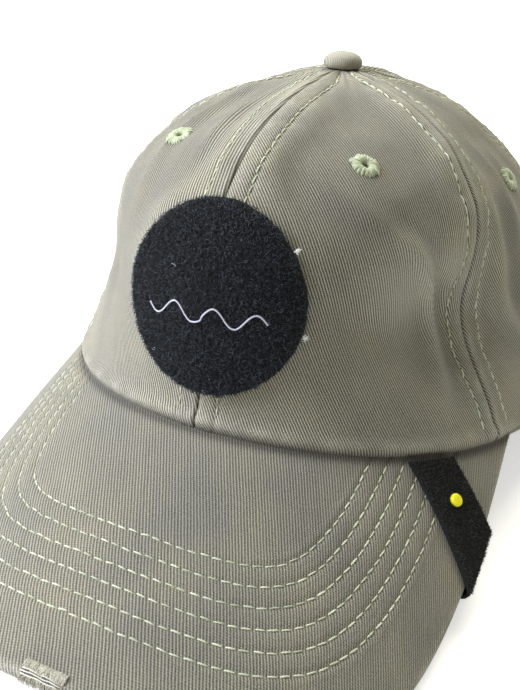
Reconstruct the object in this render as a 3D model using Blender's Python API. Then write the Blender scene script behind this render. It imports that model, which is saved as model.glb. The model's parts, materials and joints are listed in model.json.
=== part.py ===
"""Baseball cap: a soft six-panel crown on a curved bill, with a strap and clamp buckle behind.

Everything is worked out in the cap's own frame and hangs from one empty, which tips the cap to
the way it stands on a table: on the bill's side edges and the back hem. In the cap's frame
Z = 0 is the hem's plane, -Y is the front and +X is the right side of someone facing the front
of the cap. An angle of 0 is the front centre of the crown, 90 degrees its +X side and 180
degrees its back centre. A depth is a distance below the outer surface, towards the head.
"""

import math

import bpy
from mathutils import Matrix, Vector

MM = 0.001

# Head opening and crown. The opening is a half ellipse in front of the ear line and a half
# circle behind it.
HALF_WIDTH = 86.1 * MM
FRONT_REACH = 109.5 * MM
EAR_LINE_Y = 16.8 * MM
CROWN_HEIGHT = 114.6 * MM
APEX_Y = 3.0 * MM
APEX_SAG = 2.8 * MM
APEX_HOLE_RADIUS = 4.5 * MM
SIDE_FULLNESS = 2.13
FRONT_FULLNESS = 3.06
BACK_FULLNESS = 2.44
PANEL_PUFF = 0.006
PUFF_CLIMB = 0.82
PUFF_SPREAD = 0.55
HEM_PINCH = 0.0256
HEM_PINCH_RISE = 13.5 * MM

# The soft dents over the two front side seams: depth as a share of the radius, then where.
DENT_RIGHT = 0.21
DENT_LEFT = 0.101
DENT_ANGLE = math.radians(53.8)
DENT_SPREAD = math.radians(26.9)
DENT_HEIGHT = 0.385
DENT_TALL = 0.245
DENT_HOLD = 0.12

# Panels
PANEL_THICK = 1.0 * MM
SEAM_GAP = 0.3 * MM
FRONT_SEAM = math.radians(60.3)
BACK_SEAM = (FRONT_SEAM + math.pi) / 2
PANEL_COLUMNS = 10
PANEL_ROWS = 12
VENT_ROW = 7
VENT_RADIUS = 2.2 * MM

# Embroidered vents
VENT_STITCH_RADIUS = 4.4 * MM
VENT_HOLE_RADIUS = 1.1 * MM
VENT_SIDES = 12

# Inner tapes and sweatband
TAPE_WIDTH = 12 * MM
TAPE_DEPTH = 1.6 * MM
TAPE_THICK = 0.6 * MM
TAPE_NARROWEST = 0.42
BACK_TAPE_START = 56 * MM
BAND_RISE = 30 * MM
BAND_DROP = 2.5 * MM
BAND_THICK = 0.9 * MM
BAND_FRONT_DEPTH = 3.8 * MM
BAND_BACK_DEPTH = 5.2 * MM
BAND_END = math.radians(140)
BAND_COLUMNS = 32
BAND_ROWS = 4

# Top button
BUTTON_RADIUS = 6.3 * MM
BUTTON_HEIGHT = 5.0 * MM
STEM_RADIUS = 1.6 * MM
BACKING_RADIUS = 6.5 * MM
BUTTON_SEGMENTS = 24

# Bill: a sheet bent round a cylinder and tipped forward
BILL_BEND = 105.0 * MM
BILL_PITCH = math.radians(20.2)
BILL_LENGTH = 72.7 * MM
BILL_CORNER = math.radians(65.0)
BILL_CORNER_HEIGHT = 15.6 * MM
BILL_SIDE_FLARE = math.radians(5.9)
BILL_SIDE_PULL = 76.4 * MM
BILL_FRONT_PULL = 88.3 * MM
BILL_INSIDE = 0.6 * MM
BILL_COLUMNS = 26
BILL_BLENDS = (0.0, 0.2, 0.45, 0.7, 0.88, 1.0)
BILL_COVER = 0.9 * MM
BILL_BOARD_TOP = 1.2 * MM
BILL_BOARD_BOTTOM = 2.9 * MM
BILL_THICK = 4.1 * MM
BOARD_INSET = 1.8 * MM
HEM_GAP = 0.8 * MM
HEM_EASE = math.radians(35)

# Front patch and its raised line
PATCH_HALF_WIDTH = 24.8 * MM
PATCH_HALF_HEIGHT = 26.4 * MM
PATCH_ANGLE = math.radians(1.2)
PATCH_CLIMB = 0.282
PATCH_LIFT = 0.4 * MM
PATCH_THICK = 2.0 * MM
PATCH_FLAT_RADIUS = 5 * MM
PATCH_SECTORS = 24
PATCH_RINGS = (0.45, 0.72, 1.0)
LINE_WIDTH = 1.0 * MM
LINE_THICK = 0.5 * MM
LINE_GAP = 0.3 * MM
LINE_HALF_LENGTH = 16 * MM
LINE_SWING = 2.2 * MM
LINE_WAVES = 3
LINE_DROP = 3 * MM
LINE_STEPS = 48

# Pile band over the bill's right edge
PILE_SEAM_ANGLES = (math.radians(48.3), math.radians(39.2))
PILE_EDGE_SHARES = (0.075, 0.124)
PILE_THICK = 1.4 * MM
PILE_LIFT = 0.35 * MM
PILE_COLUMNS = 4
PILE_START = 0.06
PILE_UNDER = 0.62
DOT_RADIUS = 2.2 * MM
DOT_HEIGHT = 1.0 * MM
DOT_BLEND = 0.44
DOT_GAP = 0.3 * MM

# Rear opening
ARCH_HALF_WIDTH = 40 * MM
ARCH_HEIGHT = 46 * MM
ARCH_STEPS = 22
BINDING_REACH = 5.0 * MM
BINDING_THICK = 0.55 * MM
BINDING_GAP = 0.35 * MM

# Strap and buckle. Depths are below the back hem's circle.
STRAP_BOTTOM = 4 * MM
STRAP_TOP = 20 * MM
STRAP_DEPTH = 3.8 * MM
STRAP_THICK = 0.9 * MM
STRAP_START = math.radians(139)
STRAP_END = math.radians(222.5)
STRAP_COLUMNS = 22
BUCKLE_ANGLE = math.radians(167)
BUCKLE_HALF_LENGTH = 7 * MM
BUCKLE_BOTTOM = 1.0 * MM
BUCKLE_TOP = 23.0 * MM
PLATE_THICK = 1.1 * MM
PLATE_FACE = -5.3 * MM
CHEEK_TOP = 0.4 * MM
BAR_ALONG = 5.4 * MM
BAR_OUT = -1.5 * MM
BAR_RADIUS = 0.85 * MM
TAB_LOOP_RADIUS = 1.5 * MM
TAB_THICK = 0.7 * MM
TAB_REACH = math.radians(144)
TAB_BOTTOM = 5 * MM
TAB_TOP = 19 * MM
LEVER_ALONG = -4.5 * MM
LEVER_OUT = -1.4 * MM
LEVER_BOSS = 1.7 * MM
LEVER_LENGTH = 12.2 * MM
LEVER_FACE = 0.9 * MM
LEVER_THICK = 0.9 * MM
PIN_RADIUS = 0.7 * MM
PIN_CLEARANCE = 0.12 * MM
ROUND_STEPS = 12


# ---------------------------------------------------------------- crown surface


def smooth_step(value):
    value = min(max(value, 0.0), 1.0)
    return value * value * (3 - 2 * value)


def opening_point(angle):
    """Plan position on the head opening's edge."""
    reach = FRONT_REACH if math.cos(angle) > 0 else HALF_WIDTH
    return HALF_WIDTH * math.sin(angle), EAR_LINE_Y - reach * math.cos(angle)


def bend_drop(x):
    """How far the bent bill has dropped at x, below its crest at x = 0."""
    return BILL_BEND - math.sqrt(BILL_BEND * BILL_BEND - x * x)


def bill_height(x, y):
    corner_x, corner_y = opening_point(BILL_CORNER)
    crest = BILL_CORNER_HEIGHT + bend_drop(corner_x)
    return crest - bend_drop(x) + math.tan(BILL_PITCH) * (y - corner_y)


def turn_from_front(angle):
    """The angle away from the front centre, 0 to pi, on either side."""
    return abs(math.atan2(math.sin(angle), math.cos(angle)))


def hem_height(angle):
    """The hem lies just over the bill in front, then eases down to Z = 0 round the back."""
    turn = turn_from_front(angle)
    if turn <= BILL_CORNER:
        return bill_height(*opening_point(angle)) + HEM_GAP
    return (BILL_CORNER_HEIGHT + HEM_GAP) * (1 - smooth_step((turn - BILL_CORNER) / HEM_EASE))


def fullness(angle):
    """Superellipse exponent of the meridian: higher is boxier."""
    forward = math.cos(angle)
    target = FRONT_FULLNESS if forward > 0 else BACK_FULLNESS
    return SIDE_FULLNESS + (target - SIDE_FULLNESS) * forward * forward


def panel_share(angle):
    """Place across the panel, 0 at one seam and 1 at the next."""
    turn = turn_from_front(angle)
    side = (math.pi - FRONT_SEAM) / 2
    if turn < FRONT_SEAM:
        return turn / FRONT_SEAM
    return ((turn - FRONT_SEAM) % side) / side


def dent(angle, rise):
    depth = DENT_RIGHT if math.sin(angle) > 0 else DENT_LEFT
    across = (turn_from_front(angle) - DENT_ANGLE) / DENT_SPREAD
    up = (rise - DENT_HEIGHT) / DENT_TALL
    held_by_hem = 1 - math.exp(-((rise / DENT_HOLD) ** 2))
    return depth * held_by_hem * math.exp(-across * across - up * up)


def crown_point(angle, climb):
    """A point of the crown's outer surface. Climb runs from 0 at the hem to pi / 2 at the top."""
    power = 2 / fullness(angle)
    inward = max(math.cos(climb), 0.0) ** power
    rise = max(math.sin(climb), 0.0) ** power
    puff_height = (climb - PUFF_CLIMB) / PUFF_SPREAD
    puff = math.sin(math.pi * panel_share(angle)) * math.exp(-(puff_height**2))
    pinch_rise = rise * CROWN_HEIGHT / HEM_PINCH_RISE
    pinch = HEM_PINCH * pinch_rise * math.exp(1 - pinch_rise)
    pinch *= min(max(1.5 * math.cos(angle) + 0.5, 0.0), 1.0)
    spread = inward * (1 + PANEL_PUFF * puff) - dent(angle, rise) - pinch
    x, y = opening_point(angle)
    z = hem_height(angle) * (1 - rise) + CROWN_HEIGHT * rise
    z -= APEX_SAG * 4 * (1 - spread) * spread
    return Vector((spread * x, APEX_Y + spread * (y - APEX_Y), z))


def crown_normal(angle, climb):
    step = 0.004
    climb = min(max(climb, step), math.pi / 2 - 2 * step)
    across = crown_point(angle + step, climb) - crown_point(angle - step, climb)
    up = crown_point(angle, climb + step) - crown_point(angle, climb - step)
    return across.cross(up).normalized()


def under_crown(angle, climb, depth):
    return crown_point(angle, climb) - depth * crown_normal(angle, climb)


def plan_radius(angle, climb):
    point = crown_point(angle, climb)
    return math.hypot(point.x, point.y - APEX_Y)


def climb_for_rise(angle, height):
    """Climb at which the surface is this far above the hem."""
    rise = height / (CROWN_HEIGHT - hem_height(angle))
    return math.asin(rise ** (fullness(angle) / 2))


def climb_at(angle, share, samples=80):
    """Climb at this share of the meridian's length, from the hem to the hole at the top."""
    top = math.acos((APEX_HOLE_RADIUS / HALF_WIDTH) ** (fullness(angle) / 2))
    climbs = [top * (i / samples) ** 1.5 for i in range(samples + 1)]
    points = [crown_point(angle, climb) for climb in climbs]
    lengths = [0.0]
    for before, after in zip(points, points[1:]):
        lengths.append(lengths[-1] + (after - before).length)
    wanted = share * lengths[-1]
    for i in range(samples):
        if wanted <= lengths[i + 1]:
            part = (wanted - lengths[i]) / (lengths[i + 1] - lengths[i])
            return climbs[i] + part * (climbs[i + 1] - climbs[i])
    return top


def settle_on_crown(measure, target, angle, climb):
    """Newton's method: the angle and climb where measure(point) equals the target pair."""
    step = 1e-4
    for _ in range(20):
        here = measure(crown_point(angle, climb))
        by_angle = (measure(crown_point(angle + step, climb)) - here) / step
        by_climb = (measure(crown_point(angle, climb + step)) - here) / step
        miss = target - here
        scale = by_angle.x * by_climb.y - by_climb.x * by_angle.y
        angle += (miss.x * by_climb.y - by_climb.x * miss.y) / scale
        higher = climb + (by_angle.x * miss.y - miss.x * by_angle.y) / scale
        climb = max(higher, 0.4 * climb)
    return angle, climb


# ---------------------------------------------------------------- bill surface


def flat_x(x):
    """Arc length round the bend, from the crest to x: the bill's width laid out flat."""
    return BILL_BEND * math.asin(x / BILL_BEND)


def bill_edge_flat(share):
    """The outline laid out flat: two mirrored Bezier curves, share 0 to 1 from +X to -X."""
    side = 1 if share <= 0.5 else -1
    t = 1 - abs(2 * share - 1)
    corner_x, corner_y = opening_point(BILL_CORNER)
    front_y = EAR_LINE_Y - FRONT_REACH - BILL_LENGTH
    corner = Vector((flat_x(corner_x), corner_y))
    leave = Vector((math.sin(BILL_SIDE_FLARE), -math.cos(BILL_SIDE_FLARE)))
    front = Vector((0, front_y))
    points = (corner, corner + BILL_SIDE_PULL * leave, front + Vector((BILL_FRONT_PULL, 0)), front)
    weights = ((1 - t) ** 3, 3 * (1 - t) ** 2 * t, 3 * (1 - t) * t * t, t**3)
    point = sum((w * p for w, p in zip(weights, points)), Vector((0, 0)))
    return Vector((side * point.x, point.y))


def bill_seam_flat(angle):
    x, y = opening_point(angle)
    return Vector((flat_x(x), y))


def bill_edge_normal(share):
    """Direction on the flat layout that points away from the bill, square to its outline."""
    step = 0.002
    along = bill_edge_flat(min(share + step, 1)) - bill_edge_flat(max(share - step, 0))
    return Vector((-along.y, along.x)).normalized()


def bill_under(flat, depth):
    """The point this far below the bill's top surface, from a place on the flat layout."""
    x = BILL_BEND * math.sin(flat.x / BILL_BEND)
    lean = x / math.sqrt(BILL_BEND * BILL_BEND - x * x)
    normal = Vector((lean, -math.tan(BILL_PITCH), 1)).normalized()
    return Vector((x, flat.y, bill_height(x, flat.y))) - depth * normal


def bill_place(share, blend, inset):
    """Place on the flat layout: blend runs from the crown's seam to the outline."""
    angle = BILL_CORNER * (1 - 2 * share)
    seam = bill_seam_flat(angle)
    inner = seam + BILL_INSIDE * (Vector((0, EAR_LINE_Y)) - seam).normalized()
    edge = bill_edge_flat(share)
    width = max((edge - inner).length, 1e-6)
    outer = edge + (inner - edge) * min(inset / width, 0.45)
    return inner + (outer - inner) * blend


# ---------------------------------------------------------------- mesh helpers


def srgb(red, green, blue):
    def linear(value):
        value /= 255
        return value / 12.92 if value <= 0.04045 else ((value + 0.055) / 1.055) ** 2.4

    return (linear(red), linear(green), linear(blue), 1.0)


def make_material(name, color, roughness, metallic=0.0):
    material = bpy.data.materials.new(name)
    material.use_nodes = True
    shader = material.node_tree.nodes["Principled BSDF"]
    shader.inputs["Base Color"].default_value = color
    shader.inputs["Roughness"].default_value = roughness
    shader.inputs["Metallic"].default_value = metallic
    return material


def add_object(name, points, faces, material, origin=None):
    """A mesh object under the cap's empty. Points are in the cap's frame."""
    origin = origin or Vector((0, 0, 0))
    mesh = bpy.data.meshes.new(name)
    mesh.from_pydata([Vector(p) - origin for p in points], [], faces)
    mesh.validate()
    mesh.materials.append(material)
    mesh.shade_smooth()
    mesh.set_sharp_from_angle(angle=math.radians(40))
    piece = bpy.data.objects.new(name, mesh)
    bpy.context.scene.collection.objects.link(piece)
    piece.parent = bpy.data.objects["cap_frame"]
    piece.location = origin
    return piece


def grid_cells(columns, rows, skip=()):
    """Quads over (columns + 1) x (rows + 1) points, stored row by row."""
    wide = columns + 1
    return [
        (r * wide + c, r * wide + c + 1, (r + 1) * wide + c + 1, (r + 1) * wide + c)
        for r in range(rows)
        for c in range(columns)
        if (c, r) not in skip
    ]


def thick_sheet(name, outer, inner, cells, material):
    """A closed solid between two skins that share their cells. Open edges get walls."""
    count = len(outer)
    faces = [tuple(cell) for cell in cells]
    faces += [tuple(i + count for i in reversed(cell)) for cell in cells]
    edges = {edge for cell in cells for edge in zip(cell, cell[1:] + cell[:1])}
    for a, b in sorted(edges):
        if (b, a) not in edges:
            faces.append((b, a, a + count, b + count))
    return add_object(name, outer + inner, faces, material)


def revolved(name, profile, centre, material, segments=BUTTON_SEGMENTS):
    """Turns (radius, height) points about a vertical line. A radius of 0 closes an end."""
    rings = []
    points = []
    for radius, height in profile:
        if radius == 0:
            rings.append([len(points)] * segments)
            points.append(centre + Vector((0, 0, height)))
            continue
        rings.append(list(range(len(points), len(points) + segments)))
        for i in range(segments):
            turn = 2 * math.pi * i / segments
            points.append(centre + Vector((radius * math.cos(turn), radius * math.sin(turn), height)))
    closed = profile[0][0] > 0
    pairs = list(zip(rings, rings[1:] + (rings[:1] if closed else [])))
    faces = []
    for lower, upper in pairs[: len(rings) if closed else len(rings) - 1]:
        for i in range(segments):
            j = (i + 1) % segments
            corners = tuple(dict.fromkeys((lower[i], lower[j], upper[j], upper[i])))
            if len(corners) > 2:
                faces.append(corners)
    return add_object(name, points, faces, material)


def extruded(name, outline, low, high, material, origin=None):
    """A prism of the given plan outline, counter-clockwise seen from above."""
    count = len(outline)
    points = [Vector((p.x, p.y, low)) for p in outline] + [Vector((p.x, p.y, high)) for p in outline]
    faces = [tuple(reversed(range(count))), tuple(range(count, 2 * count))]
    for i in range(count):
        j = (i + 1) % count
        faces.append((i, j, j + count, i + count))
    return add_object(name, points, faces, material, origin)


def cut_with(piece, cutter, operation="DIFFERENCE"):
    modifier = piece.modifiers.new(cutter.name, "BOOLEAN")
    modifier.operation = operation
    modifier.solver = "EXACT"
    modifier.object = cutter
    cutter.hide_render = True
    cutter.display_type = "WIRE"


# ---------------------------------------------------------------- crown pieces


def panel_place(first, last, across, share):
    """Angle and climb inside a panel, kept half a seam gap clear of both its seams."""
    angle = first + (last - first) * across
    climb = climb_at(angle, share)
    margin = SEAM_GAP / 2 / plan_radius(angle, climb)
    return first + margin + (last - first - 2 * margin) * across, climb


def panel_layer(places, depth, vent):
    """One skin of a panel. The hem's row keeps its height, so that the hem is flat."""
    points = []
    for row in places:
        for angle, climb in row:
            point = under_crown(angle, climb, depth)
            if climb == 0:
                point.z = hem_height(angle)
            points.append(point)
    centre, right, up, normal = vent
    for i in range(8):
        turn = math.pi / 4 * i
        ring = centre + VENT_RADIUS * (math.cos(turn) * right + math.sin(turn) * up)
        points.append(ring - depth * normal)
    return points


def vent_frame(first, last):
    angle, climb = panel_place(first, last, 0.5, VENT_ROW / PANEL_ROWS)
    normal = crown_normal(angle, climb)
    right = Vector((0, 0, 1)).cross(normal).normalized()
    return crown_point(angle, climb), right, normal.cross(right), normal


def crown_panel(name, first, last, material):
    places = [
        [panel_place(first, last, c / PANEL_COLUMNS, r / PANEL_ROWS) for c in range(PANEL_COLUMNS + 1)]
        for r in range(PANEL_ROWS + 1)
    ]
    vent = vent_frame(first, last)
    column, row = PANEL_COLUMNS // 2, VENT_ROW
    skip = {(c, r) for c in (column - 1, column) for r in (row - 1, row)}
    cells = grid_cells(PANEL_COLUMNS, PANEL_ROWS, skip)
    wide = PANEL_COLUMNS + 1
    around = ((1, 0), (1, 1), (0, 1), (-1, 1), (-1, 0), (-1, -1), (0, -1), (1, -1))
    block = [(row + dr) * wide + column + dc for dc, dr in around]
    ring = [wide * (PANEL_ROWS + 1) + i for i in range(8)]
    for i in range(8):
        j = (i + 1) % 8
        cells.append((block[i], block[j], ring[j], ring[i]))
    outer = panel_layer(places, 0, vent)
    inner = panel_layer(places, PANEL_THICK, vent)
    return thick_sheet(name, outer, inner, cells, material)


def vent_eyelet(name, first, last, material):
    """The ring of dense stitches: it lies on the panel and lines the hole."""
    centre, right, up, normal = vent_frame(first, last)
    collar = VENT_RADIUS - 0.35 * MM
    profile = (
        (VENT_HOLE_RADIUS, -1.2 * MM),
        (collar, -1.2 * MM),
        (collar, 0.5 * MM),
        (VENT_STITCH_RADIUS, 0.5 * MM),
        (VENT_STITCH_RADIUS - 0.3 * MM, 1.0 * MM),
        (VENT_HOLE_RADIUS, 1.2 * MM),
    )
    points = []
    for radius, height in profile:
        for i in range(VENT_SIDES):
            turn = 2 * math.pi * i / VENT_SIDES
            out = math.cos(turn) * right + math.sin(turn) * up
            points.append(centre + radius * out + height * normal)
    faces = []
    for k in range(len(profile)):
        following = (k + 1) % len(profile)
        for i in range(VENT_SIDES):
            j = (i + 1) % VENT_SIDES
            a, b = k * VENT_SIDES, following * VENT_SIDES
            faces.append((a + i, a + j, b + j, b + i))
    return add_object(name, points, faces, material)


def seam_tape(name, seam, start, material):
    """A tape over a seam, inside the crown, narrowed where the tapes meet under the button."""
    outer, inner = [], []
    low = start / (0.5 * math.pi * CROWN_HEIGHT)
    for row in range(PANEL_ROWS + 1):
        share = low + (1 - low) * row / PANEL_ROWS if start else row / PANEL_ROWS
        climb = climb_at(seam, share)
        radius = plan_radius(seam, climb)
        half = min(TAPE_WIDTH / 2, TAPE_NARROWEST * radius) / radius
        for side in (-1, 0, 1):
            outer.append(under_crown(seam + side * half, climb, TAPE_DEPTH))
            inner.append(under_crown(seam + side * half, climb, TAPE_DEPTH + TAPE_THICK))
    return thick_sheet(name, outer, inner, grid_cells(2, PANEL_ROWS), material)


def sweatband(material):
    outer, inner = [], []
    for row in range(BAND_ROWS + 1):
        for column in range(BAND_COLUMNS + 1):
            angle = BAND_END * (2 * column / BAND_COLUMNS - 1)
            deeper = smooth_step((abs(angle) - math.radians(105)) / math.radians(20))
            depth = BAND_FRONT_DEPTH + (BAND_BACK_DEPTH - BAND_FRONT_DEPTH) * deeper
            rise = max(BAND_RISE * row / BAND_ROWS, 1e-5)
            climb = climb_for_rise(angle, rise)
            drop = BAND_DROP * (1 - row / BAND_ROWS) * (1 - deeper)
            for layer, extra in ((outer, 0), (inner, BAND_THICK)):
                point = under_crown(angle, climb, depth + extra)
                layer.append(point - Vector((0, 0, drop)))
    return thick_sheet("sweatband", outer, inner, grid_cells(BAND_COLUMNS, BAND_ROWS), material)


def top_button(fabric, metal):
    """Fabric cover, riveted metal core, and the backing disc inside the crown."""
    top = Vector((0, APEX_Y, CROWN_HEIGHT))
    wall = 0.8 * MM
    cover = [
        (BUTTON_RADIUS - 1.1 * MM, -0.3 * MM),
        (BUTTON_RADIUS - 0.2 * MM, 0.2 * MM),
        (BUTTON_RADIUS, 1.4 * MM),
        (BUTTON_RADIUS - 0.3 * MM, 2.6 * MM),
        (0.78 * BUTTON_RADIUS, 3.7 * MM),
        (0.42 * BUTTON_RADIUS, 4.5 * MM),
        (0, BUTTON_HEIGHT - 0.3 * MM),
    ]
    inside = [(0, 3.8 * MM), (0.72 * BUTTON_RADIUS, 2.9 * MM), (BUTTON_RADIUS - wall, 1.6 * MM)]
    inside.append((BUTTON_RADIUS - 2.0 * MM, -0.2 * MM))
    revolved("button_cover", cover + inside, top, fabric)
    core = [
        (0, -6.6 * MM),
        (2.7 * MM, -6.3 * MM),
        (2.7 * MM, -5.6 * MM),
        (STEM_RADIUS, -5.5 * MM),
        (STEM_RADIUS, 0.3 * MM),
        (3.8 * MM, 0.4 * MM),
        (4.3 * MM, 1.9 * MM),
        (3.4 * MM, 2.7 * MM),
        (0, 3.4 * MM),
    ]
    revolved("button_core", core, top, metal)
    hole = STEM_RADIUS + 0.35 * MM
    backing = [
        (hole, -5.2 * MM),
        (BACKING_RADIUS - 0.4 * MM, -5.2 * MM),
        (BACKING_RADIUS, -4.8 * MM),
        (BACKING_RADIUS - 0.4 * MM, -4.2 * MM),
        (hole, -4.2 * MM),
    ]
    revolved("button_backing", backing, top, metal)


# ---------------------------------------------------------------- rear opening


def arch_edge(step, away=0.0):
    """A point of the arched edge in the X-Z plane, moved away from the opening's centre."""
    turn = math.pi * step / ARCH_STEPS
    out = Vector((math.cos(turn) / ARCH_HALF_WIDTH, math.sin(turn) / ARCH_HEIGHT)).normalized()
    edge = Vector((ARCH_HALF_WIDTH * math.cos(turn), ARCH_HEIGHT * math.sin(turn)))
    return edge + away * out


def arch_cutter(material):
    """A prism behind the cap whose section is the arch, carried down past the hem."""
    outline = [arch_edge(step) for step in range(ARCH_STEPS + 1)]
    outline.append(Vector((-ARCH_HALF_WIDTH, -15 * MM)))
    outline.append(Vector((ARCH_HALF_WIDTH, -15 * MM)))
    near, far = 40 * MM, 130 * MM
    points = [Vector((p.x, far, p.y)) for p in outline] + [Vector((p.x, near, p.y)) for p in outline]
    count = len(outline)
    faces = [tuple(reversed(range(count))), tuple(range(count, 2 * count))]
    for i in range(count):
        j = (i + 1) % count
        faces.append((i, j, j + count, i + count))
    return add_object("arch_cutter", points, faces, material)


def arch_surface(place, depth):
    """The point at this depth under the back of the crown, straight behind an X-Z place."""

    def seen_from_behind(point):
        return Vector((point.x, point.z))

    height = max(place.y, 1 * MM)
    start = math.pi - math.asin(place.x / HALF_WIDTH)
    climb = climb_for_rise(start, height)
    target = Vector((place.x, height))
    angle, climb = settle_on_crown(seen_from_behind, target, start, climb)
    return under_crown(angle, climb, depth)


def opening_binding(material):
    """A channel folded over the opening's cut edge."""
    gap, thick, reach = BINDING_GAP, BINDING_THICK, BINDING_REACH
    below = PANEL_THICK + gap
    section = (
        (reach, -gap - thick),
        (reach, -gap),
        (-gap, -gap),
        (-gap, below),
        (reach, below),
        (reach, below + thick),
        (-gap - thick, below + thick),
        (-gap - thick, -gap - thick),
    )
    points = []
    for step in range(ARCH_STEPS + 1):
        for away, depth in section:
            place = arch_edge(step, away)
            points.append(arch_surface(Vector((place.x, max(place.y, 1 * MM))), depth))
    count = len(section)
    faces = [tuple(range(count)), tuple(reversed(range(ARCH_STEPS * count, (ARCH_STEPS + 1) * count)))]
    for step in range(ARCH_STEPS):
        for i in range(count):
            j = (i + 1) % count
            a, b = step * count, (step + 1) * count
            faces.append((a + j, a + i, b + i, b + j))
    return add_object("opening_binding", points, faces, material)


# ---------------------------------------------------------------- bill pieces


def bill_layer(name, section, material):
    """A solid along the bill. The section is a closed loop of (blend, inset, depth)."""
    points = []
    for column in range(BILL_COLUMNS + 1):
        share = column / BILL_COLUMNS
        for blend, inset, depth in section:
            points.append(bill_under(bill_place(share, blend, inset), depth))
    count = len(section)
    last = BILL_COLUMNS * count
    faces = []
    half = count // 2
    for start, turned in ((0, False), (last, True)):
        for i in range(half - 1):
            quad = (start + i, start + i + 1, start + count - 2 - i, start + count - 1 - i)
            faces.append(tuple(reversed(quad)) if turned else quad)
    for column in range(BILL_COLUMNS):
        for i in range(count):
            j = (i + 1) % count
            a, b = column * count, (column + 1) * count
            faces.append((a + j, a + i, b + i, b + j))
    return add_object(name, points, faces, material)


def bill_pieces(fabric, board):
    lip = BILL_THICK - 1.5 * MM
    top = [(blend, 0.5 * MM, 0) for blend in BILL_BLENDS] + [(1, 0, 0.7 * MM), (1, 0, lip)]
    under = [(1, BILL_COVER, lip), (1, 1.1 * MM, 1.2 * MM)]
    under += [(blend, 1.3 * MM, BILL_COVER) for blend in reversed(BILL_BLENDS)]
    bill_layer("bill_top_cover", top + under, fabric)
    upper = [(blend, BOARD_INSET, BILL_BOARD_TOP) for blend in BILL_BLENDS]
    lower = [(blend, BOARD_INSET, BILL_BOARD_BOTTOM) for blend in reversed(BILL_BLENDS)]
    bill_layer("bill_board", upper + lower, board)
    upper = [(blend, 0.3 * MM, BILL_THICK - BILL_COVER) for blend in BILL_BLENDS]
    lower = [(blend, 0.3 * MM, BILL_THICK) for blend in reversed(BILL_BLENDS)]
    bill_layer("bill_under_cover", upper + lower, fabric)


def pile_band_skin(lift):
    """One skin of the band: along the bill's top, round its edge and back under it."""
    points = []
    bottom = BILL_THICK + lift
    rows = [(PILE_START + (1 - PILE_START) * i / 4, 0, -lift) for i in range(5)]
    rows += [(1, lift, 0.25 * BILL_THICK), (1, lift, 0.75 * BILL_THICK)]
    rows += [(1, 0, bottom), ((1 + PILE_UNDER) / 2, 0, bottom), (PILE_UNDER, 0, bottom)]
    for blend, beyond, depth in rows:
        for column in range(PILE_COLUMNS + 1):
            across = column / PILE_COLUMNS
            angle = PILE_SEAM_ANGLES[0] + (PILE_SEAM_ANGLES[1] - PILE_SEAM_ANGLES[0]) * across
            share = PILE_EDGE_SHARES[0] + (PILE_EDGE_SHARES[1] - PILE_EDGE_SHARES[0]) * across
            seam, edge = bill_seam_flat(angle), bill_edge_flat(share)
            place = seam + (edge - seam) * blend + beyond * bill_edge_normal(share)
            points.append(bill_under(place, depth))
    return points, len(rows) - 1


def pile_band(pile, dot):
    inner, rows = pile_band_skin(PILE_LIFT)
    outer, _ = pile_band_skin(PILE_LIFT + PILE_THICK)
    cells = grid_cells(PILE_COLUMNS, rows)
    thick_sheet("bill_pile_band", outer, inner, cells, pile)
    seam = bill_seam_flat(sum(PILE_SEAM_ANGLES) / 2)
    edge = bill_edge_flat(sum(PILE_EDGE_SHARES) / 2)
    place = seam + (edge - seam) * DOT_BLEND
    base = bill_under(place, -(PILE_LIFT + PILE_THICK + DOT_GAP))
    up = (base - bill_under(place, 0)).normalized()
    side = up.cross(Vector((0, 1, 0))).normalized()
    points = []
    profile = ((0, DOT_RADIUS), (0.7 * DOT_HEIGHT, DOT_RADIUS), (DOT_HEIGHT, 0.7 * DOT_RADIUS))
    for height, radius in profile:
        for i in range(ROUND_STEPS):
            turn = 2 * math.pi * i / ROUND_STEPS
            out = math.cos(turn) * side + math.sin(turn) * up.cross(side)
            points.append(base + radius * out + height * up)
    faces = [tuple(reversed(range(ROUND_STEPS))), tuple(range(2 * ROUND_STEPS, 3 * ROUND_STEPS))]
    for ring in (0, ROUND_STEPS):
        for i in range(ROUND_STEPS):
            j = (i + 1) % ROUND_STEPS
            faces.append((ring + i, ring + j, ring + ROUND_STEPS + j, ring + ROUND_STEPS + i))
    add_object("bill_band_dot", points, faces, dot)


# ---------------------------------------------------------------- front patch


def patch_frame():
    centre = crown_point(PATCH_ANGLE, PATCH_CLIMB)
    normal = crown_normal(PATCH_ANGLE, PATCH_CLIMB)
    right = Vector((0, 0, 1)).cross(normal).normalized()
    return centre, right, normal.cross(right), normal


def on_patch(across, up_by, depth):
    """The point at this depth under the crown, seen square-on from the patch's centre."""
    centre, right, up, _ = patch_frame()

    def seen_square_on(point):
        return Vector(((point - centre).dot(right), (point - centre).dot(up)))

    target = Vector((across, up_by))
    angle, climb = settle_on_crown(seen_square_on, target, PATCH_ANGLE, PATCH_CLIMB)
    return under_crown(angle, climb, depth)


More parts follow.
